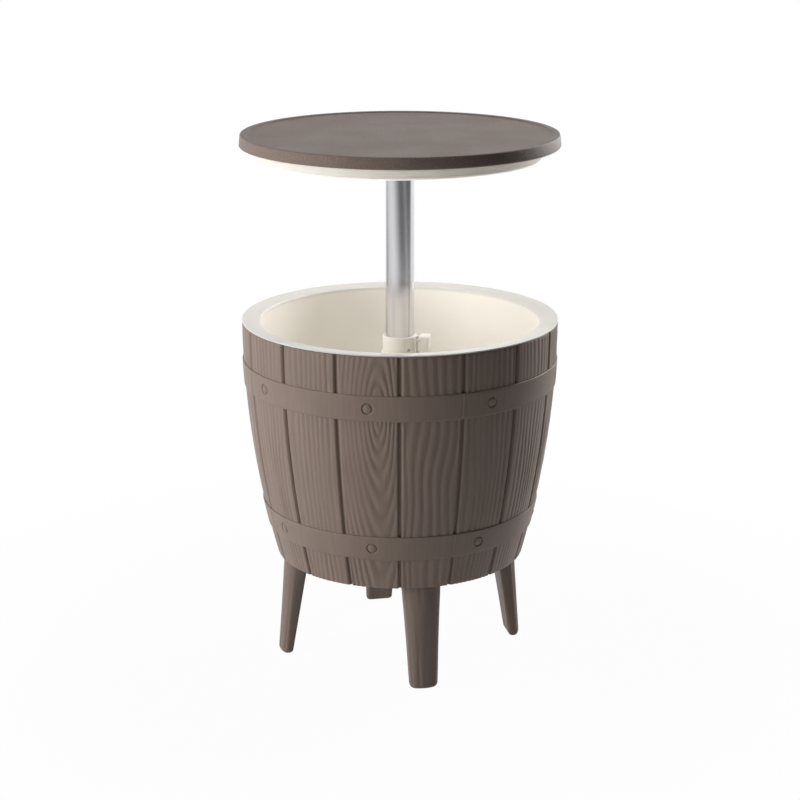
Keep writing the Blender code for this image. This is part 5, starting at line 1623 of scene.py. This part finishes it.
@dataclass(frozen=True)
class Spring:
    """The lever's spring: one wire, coiled on the collar's pin, whose hook reaches under the pin.

    Attributes:
        finishes: The cooler's materials.
        collar: The collar that carries the pin.
        wire: Radius of the wire.
        coil: Radius of the coil's middle line.
        first: Place of the coil's start along the pin.
        pitch: Advance along the pin in one turn.
        turns: Number of turns.
        leg: How far the upper leg reaches in towards the column.
        hook: Distance of the hook outside the pin.
        drop: Depth of the hook under the pin.
        hook_end: Place of the hook's end along the pin.
        bend: Depths under the pin of two points that are passed with the piece, which doesn't bend.
    """

    finishes: Finishes
    collar: Collar
    wire: float = 0.00025
    coil: float = 0.0026
    first: float = 0.0006
    pitch: float = 0.0010
    turns: float = 4.25
    leg: float = 0.00475
    hook: float = 0.00405
    drop: float = 0.0060
    hook_end: float = -0.0035
    bend: tuple[float, float] = (0.0030, 0.0056)

    def path(self) -> np.ndarray:
        """Middle line of the wire, around the pin."""
        turn = np.linspace(0.0, self.turns, round(self.turns * 28) + 1)
        angle = math.pi / 2 - 2 * math.pi * turn
        along = self.first + self.pitch * turn
        coil = np.stack([self.coil * np.cos(angle), along, self.coil * np.sin(angle)], axis=-1)
        last = coil[-1]
        corner = np.array([self.hook, last[1], -self.drop])
        inner = np.linspace([-self.leg, self.first, self.coil], coil[0], 6)[:-1]
        down = np.linspace(last, corner, 15)[1:-1]
        across = np.linspace(corner, [self.hook, self.hook_end, -self.drop], 9)
        return np.concatenate([inner, coil, down, across])

    def mesh(self) -> bpy.types.Mesh:
        """Sweep the wire along its middle line."""
        path = self.path()
        along = np.gradient(path, axis=0)
        along /= np.linalg.norm(along, axis=1)[:, None]
        side = np.array([0.0, 1.0, 0.0])
        rings = [np.repeat(path[:1], 10, axis=0)]
        turns = np.arange(10) * math.pi / 5
        for place, ahead in zip(path, along):
            side = side - ahead * (side @ ahead)
            side /= np.linalg.norm(side)
            other = np.cross(ahead, side)
            rings.append(place + self.wire * (np.cos(turns)[:, None] * side + np.sin(turns)[:, None] * other))
        rings.append(np.repeat(path[-1:], 10, axis=0))
        points = np.array(rings) + np.array([self.collar.pin_out, 0.0, self.collar.pin_level])
        return grid_mesh("lever_coil", spun(points, self.collar.angle))

    def build(self) -> None:
        """Make the spring, which is not attached to any body."""
        start, end = (at_angle(self.collar.pin_out, self.collar.angle, self.collar.pin_level - depth)
                      for depth in self.bend)
        add_piece("lever_coil", self.mesh(), "barrel", [self.finishes.steel], ["lever_spring"],
                  ("lever", start, end))


@dataclass(frozen=True)
class Drain:
    """The drain pipe through both floors, with its washer, nut and push-in plug.

    Attributes:
        finishes: The cooler's materials.
        flange: Radius of the pipe's flange, and of the washer.
        flange_top: Upper face of the flange.
        flange_bottom: Lower face of the flange.
        washer_top: Upper face of the washer.
        washer_bottom: Lower face of the washer.
        pipe_outer: Outer radius of the pipe.
        pipe_bore: Inner radius of the pipe.
        pipe_bottom: Lower end of the pipe.
    """

    finishes: Finishes
    flange: float = 0.016
    flange_top: float = 0.2441
    flange_bottom: float = 0.2421
    washer_top: float = 0.2418
    washer_bottom: float = 0.2403
    pipe_outer: float = 0.0105
    pipe_bore: float = 0.0075
    pipe_bottom: float = 0.150

    def build(self) -> None:
        """Make the drain's pieces."""
        white, rubber = [self.finishes.white], [self.finishes.rubber]
        add_piece("drain_pipe", self.pipe(), "barrel", white, ["drain_fitting"])
        add_piece("drain_ring", self.washer(), "barrel", rubber, ["drain_washer"])
        add_piece("drain_hex_nut", self.nut(), "barrel", white, ["drain_nut"])
        add_piece("drain_stopper", self.plug(), "drain_plug", rubber, ["drain_plug"])

    @staticmethod
    def placed(mesh: bpy.types.Mesh) -> bpy.types.Mesh:
        """Move a mesh from the column's axis to the drain's."""
        mesh.transform(Matrix.Translation(at_angle(DRAIN_CIRCLE, DRAIN_ANGLE, 0.0)))
        return mesh

    def pipe(self) -> bpy.types.Mesh:
        """Make the flanged pipe."""
        corners: list[Corner] = [
            (self.flange, self.flange_top, 0.0008), (self.flange, self.flange_bottom, 0.0003),
            (self.pipe_outer, self.flange_bottom, 0.0003), (self.pipe_outer, self.pipe_bottom, 0.0006),
            (self.pipe_bore, self.pipe_bottom, 0.0004), (self.pipe_bore, self.flange_top, 0.0010),
        ]
        return self.placed(turned("drain_pipe", filleted(corners), 64))

    def washer(self) -> bpy.types.Mesh:
        """Make the washer under the pipe's flange."""
        corners: list[Corner] = [
            (self.flange, self.washer_top, 0.0005), (self.flange, self.washer_bottom, 0.0005),
            (DRAIN_HOLE, self.washer_bottom, 0.0003), (DRAIN_HOLE, self.washer_top, 0.0003),
        ]
        return self.placed(turned("drain_ring", filleted(corners), 64))

    def nut(self) -> bpy.types.Mesh:
        """Make the six-sided nut, with the chamfer of a turned cone at its ends."""
        low, high = 0.1622, 0.1717
        face, widest, chamfer = 0.0152, 0.0172, 0.0012
        cone = [
            (0.0, high), (face, high), (widest, high - chamfer),
            (widest, low + chamfer), (face, low), (0.0, low),
        ]
        body = Carver(rod_mesh((0, 0, low), (0, 0, high), 0.0165, 6))
        body.apply("INTERSECT", [turned("cone", cone, 72, closed=False)])
        body.cut(rod_mesh((0, 0, low - 0.01), (0, 0, high + 0.01), DRAIN_HOLE, 48))
        return self.placed(body.bake("drain_hex_nut"))

    def plug(self) -> bpy.types.Mesh:
        """Make the plug with sealing ribs on its stem and a pull tab with a hole."""
        seat = self.pipe_bottom - 0.0003
        stem = 0.0072
        corners: list[Corner] = [(0.0, seat + 0.0153, 0.0), (stem - 0.0014, seat + 0.0153, 0.0008)]
        for index in range(4):
            height = seat + 0.0128 - 0.0032 * index
            corners += [(stem, height, 0.0005), (stem - 0.0007, height - 0.0012, 0.0004)]
        corners += [
            (stem - 0.0007, seat, 0.0003), (0.0130, seat, 0.0010), (0.0130, seat - 0.005, 0.0016),
            (0.0, seat - 0.005, 0.0),
        ]
        tab_top = seat - 0.0025
        carver = Carver(turned("plug", filleted(corners, closed=False), 64, closed=False))
        carver.join(box_mesh((-0.006, -0.0015, tab_top - 0.009), (0.006, 0.0015, tab_top), 0.0, 0.0007))
        carver.cut(rod_mesh((0, -0.01, tab_top - 0.0056), (0, 0.01, tab_top - 0.0056), 0.0019, 24))
        return self.placed(carver.bake("drain_stopper"))


# ---------------------------------------------------------------- studio


@dataclass(frozen=True)
class Softbox:
    """A flat lamp that faces the cooler.

    Attributes:
        name: Name of the lamp.
        place: Where it stands.
        size: Its width and height.
        power: Its power in watts.
        mirrored: Whether it shows in reflections.
        target: What it faces.
        outline: Its shape, a rectangle or an ellipse.
    """

    name: str
    place: tuple[float, float, float]
    size: tuple[float, float]
    power: float
    mirrored: bool = True
    target: tuple[float, float, float] = (0.0, 0.0, 0.45)
    outline: str = "RECTANGLE"

    def build(self) -> None:
        """Put the lamp in the scene."""
        data = bpy.data.lights.new(self.name, "AREA")
        data.shape = self.outline
        data.size, data.size_y = self.size
        data.energy = self.power
        lamp = linked(self.name, data)
        lamp.visible_camera = False
        lamp.visible_glossy = self.mirrored
        lamp.location = self.place
        aim = Vector(self.target) - Vector(self.place)
        lamp.rotation_euler = aim.to_track_quat("-Z", "Y").to_euler()


class Studio:
    """The floor, the white surroundings, the lamps and the camera."""

    AMBIENT = 0.045
    FLOOR_GLOW = 0.97
    FLOOR_FADE = (0.45, 1.1)
    PAPER = 0.55
    CAMERA_DISTANCE = 3.0294
    CAMERA_HEIGHT = 1.2844
    CAMERA_TURN = -11.25
    CAMERA_PITCH = 73.944
    LENS = 88.98
    SOFTBOXES = (
        Softbox("key_front", (-2.48, -0.80, 1.50), (2.4, 2.4), 24.0, mirrored=False),
        Softbox("key_left", (-2.6, 0.2, 1.5), (2.2, 2.2), 42.0, mirrored=False),
        Softbox("left_low", (-2.5, -0.9, 0.6), (1.6, 1.0), 19.0, mirrored=False),
        Softbox("near_right", (1.45, 0.95, 1.35), (0.7, 1.2), 10.0),
        Softbox("rear_right", (2.3, 1.2, 1.4), (1.0, 2.0), 43.0),
        Softbox("dish_fill", (0.0, 0.0, 0.553), (0.42, 0.42), 2.6, False, (0.0, 0.0, 1.0), "ELLIPSE"),
    )
    FLAG_LEVELS = (
        (-235.0, 0.0), (-218.0, 0.78), (-205.0, 1.05), (-195.0, 0.91), (-185.0, 0.19), (-175.0, 0.0),
        (-168.0, 0.44), (-160.0, 0.13), (-153.0, 0.0), (-120.0, 0.0), (-100.0, 0.08), (-66.0, 0.20),
        (-58.0, 0.35), (-50.0, 0.44), (-40.0, 0.51), (-10.0, 0.58)
    )

    def build_flag(self) -> None:
        """Stand a dark curved card at the camera's right, which only shows in reflections."""
        reach, low, high = 2.3, 0.05, 2.2
        first, last = self.FLAG_LEVELS[0][0], self.FLAG_LEVELS[-1][0]
        count = 46
        turns = np.radians(np.linspace(first, last, count))
        points = np.concatenate([around(reach, turns, height) for height in (low, high)])
        faces = [(index, index + 1, index + 1 + count, index + count) for index in range(count - 1)]
        mesh = bpy.data.meshes.new("flag")
        mesh.from_pydata(points.tolist(), [], faces)
        layer = mesh.uv_layers.new(name="UVMap")
        for loop, corner in enumerate(index for face in faces for index in face):
            layer.data[loop].uv = (corner % count / (count - 1), corner // count)
        shader = Shader.new("grey_card")
        levels = shader.add("ShaderNodeValToRGB", {0: shader.uv()})
        for index, (angle, level) in enumerate(self.FLAG_LEVELS):
            place = (angle - first) / (last - first)
            stops = levels.color_ramp.elements
            stop = stops[0] if index == 0 else stops.new(place) if place < 1.0 else stops[-1]
            stop.position = place
            stop.color = (level, level, level, 1.0)
        flag = self.shown(mesh, shader, shader.get("ShaderNodeEmission", {"Color": levels.outputs[0]}))
        for rays in ("camera", "diffuse", "shadow", "transmission"):
            setattr(flag, "visible_" + rays, False)

    @staticmethod
    def shown(mesh: bpy.types.Mesh, shader: Shader, surface: bpy.types.NodeSocket) -> bpy.types.Object:
        """Put a mesh of the surroundings in the scene.

        Args:
            mesh: The mesh.
            shader: Its material, whose Principled shader is taken out.
            surface: What the material shows instead.

        Returns:
            The object.
        """
        shader.tree.nodes.remove(shader.surface)
        shader.feed(shader.tree.nodes["Material Output"].inputs["Surface"], surface)
        mesh.materials.append(shader.material)
        return linked(mesh.name, mesh)

    def build(self) -> None:
        """Set up everything around the cooler."""
        self.build_world()
        self.build_floor()
        self.build_flag()
        for softbox in self.SOFTBOXES:
            softbox.build()
        self.build_camera()
        bpy.context.scene.view_settings.view_transform = "Standard"

    @staticmethod
    def seen_directly(graph: Graph) -> bpy.types.NodeSocket:
        """1 for rays from the camera, from mirrors and through glass, and 0 for the rest."""
        path = graph.add("ShaderNodeLightPath").outputs
        mirrored = graph.math("MAXIMUM", path["Is Camera Ray"], path["Is Glossy Ray"])
        return graph.math("MAXIMUM", mirrored, path["Is Transmission Ray"])

    def build_world(self) -> None:
        """Make the surroundings white to the eye and dim as a light."""
        world = bpy.data.worlds.new("studio")
        bpy.context.scene.world = world
        world.use_nodes = True
        graph = Graph(world.node_tree)
        dim = graph.tree.nodes["Background"]
        graph.feed(dim.inputs["Color"], WHITE)
        graph.feed(dim.inputs["Strength"], self.AMBIENT)
        white = graph.get("ShaderNodeBackground", {"Color": WHITE, "Strength": 1.0})
        mix = graph.get("ShaderNodeMixShader", {0: self.seen_directly(graph), 1: dim.outputs[0], 2: white})
        graph.feed(graph.tree.nodes["World Output"].inputs["Surface"], mix)

    def build_floor(self) -> None:
        """Lay a pale floor that keeps the cooler's shadow."""
        mesh = bpy.data.meshes.new("floor")
        reach = 9.0
        corners = [(-reach, -reach, 0.0), (reach, -reach, 0.0), (reach, reach, 0.0), (-reach, reach, 0.0)]
        mesh.from_pydata(corners, [], [(0, 1, 2, 3)])
        shader = Shader.new("floor_paper")
        away = shader.add("ShaderNodeVectorMath", {0: shader.place()}, operation="LENGTH").outputs["Value"]
        fade = shader.ramp(away, *self.FLOOR_FADE, self.FLOOR_GLOW, 1.0)
        share = shader.times(self.seen_directly(shader), fade)
        paper = shader.get("ShaderNodeBsdfDiffuse", {"Color": (self.PAPER, self.PAPER, self.PAPER, 1.0)})
        glow = shader.get("ShaderNodeEmission", {"Strength": 1.0})
        self.shown(mesh, shader, shader.get("ShaderNodeMixShader", {0: share, 1: paper, 2: glow}))

    def build_camera(self) -> None:
        """Place the camera at the photograph's viewing angle."""
        data = bpy.data.cameras.new("camera")
        data.lens = self.LENS
        data.sensor_width = 36.0
        camera = linked("camera", data)
        turn = math.radians(self.CAMERA_TURN)
        camera.location = at_angle(self.CAMERA_DISTANCE, self.CAMERA_TURN - 90.0, self.CAMERA_HEIGHT)
        camera.rotation_euler = (math.radians(self.CAMERA_PITCH), 0.0, turn)
        bpy.context.scene.camera = camera


# ---------------------------------------------------------------- the whole scene


def main() -> None:
    """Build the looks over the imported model."""
    logging.basicConfig(level=logging.INFO, format="%(name)s: %(message)s")
    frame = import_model()
    slots = {row["node"]: row["material_slot"] for row in frame["record"]["subparts"]}
    finishes = Finishes()
    finishes.dress(frame["nodes"], slots)
    Barrel(finishes).build()
    Legs(finishes).build()
    Liner(finishes).build()
    collar = Collar(finishes)
    collar.build()
    Spring(finishes, collar).build()
    Drain(finishes).build()
    Table(finishes).build()
    Screws(finishes).build()
    Studio().build()


if __name__ == "__main__":
    main()
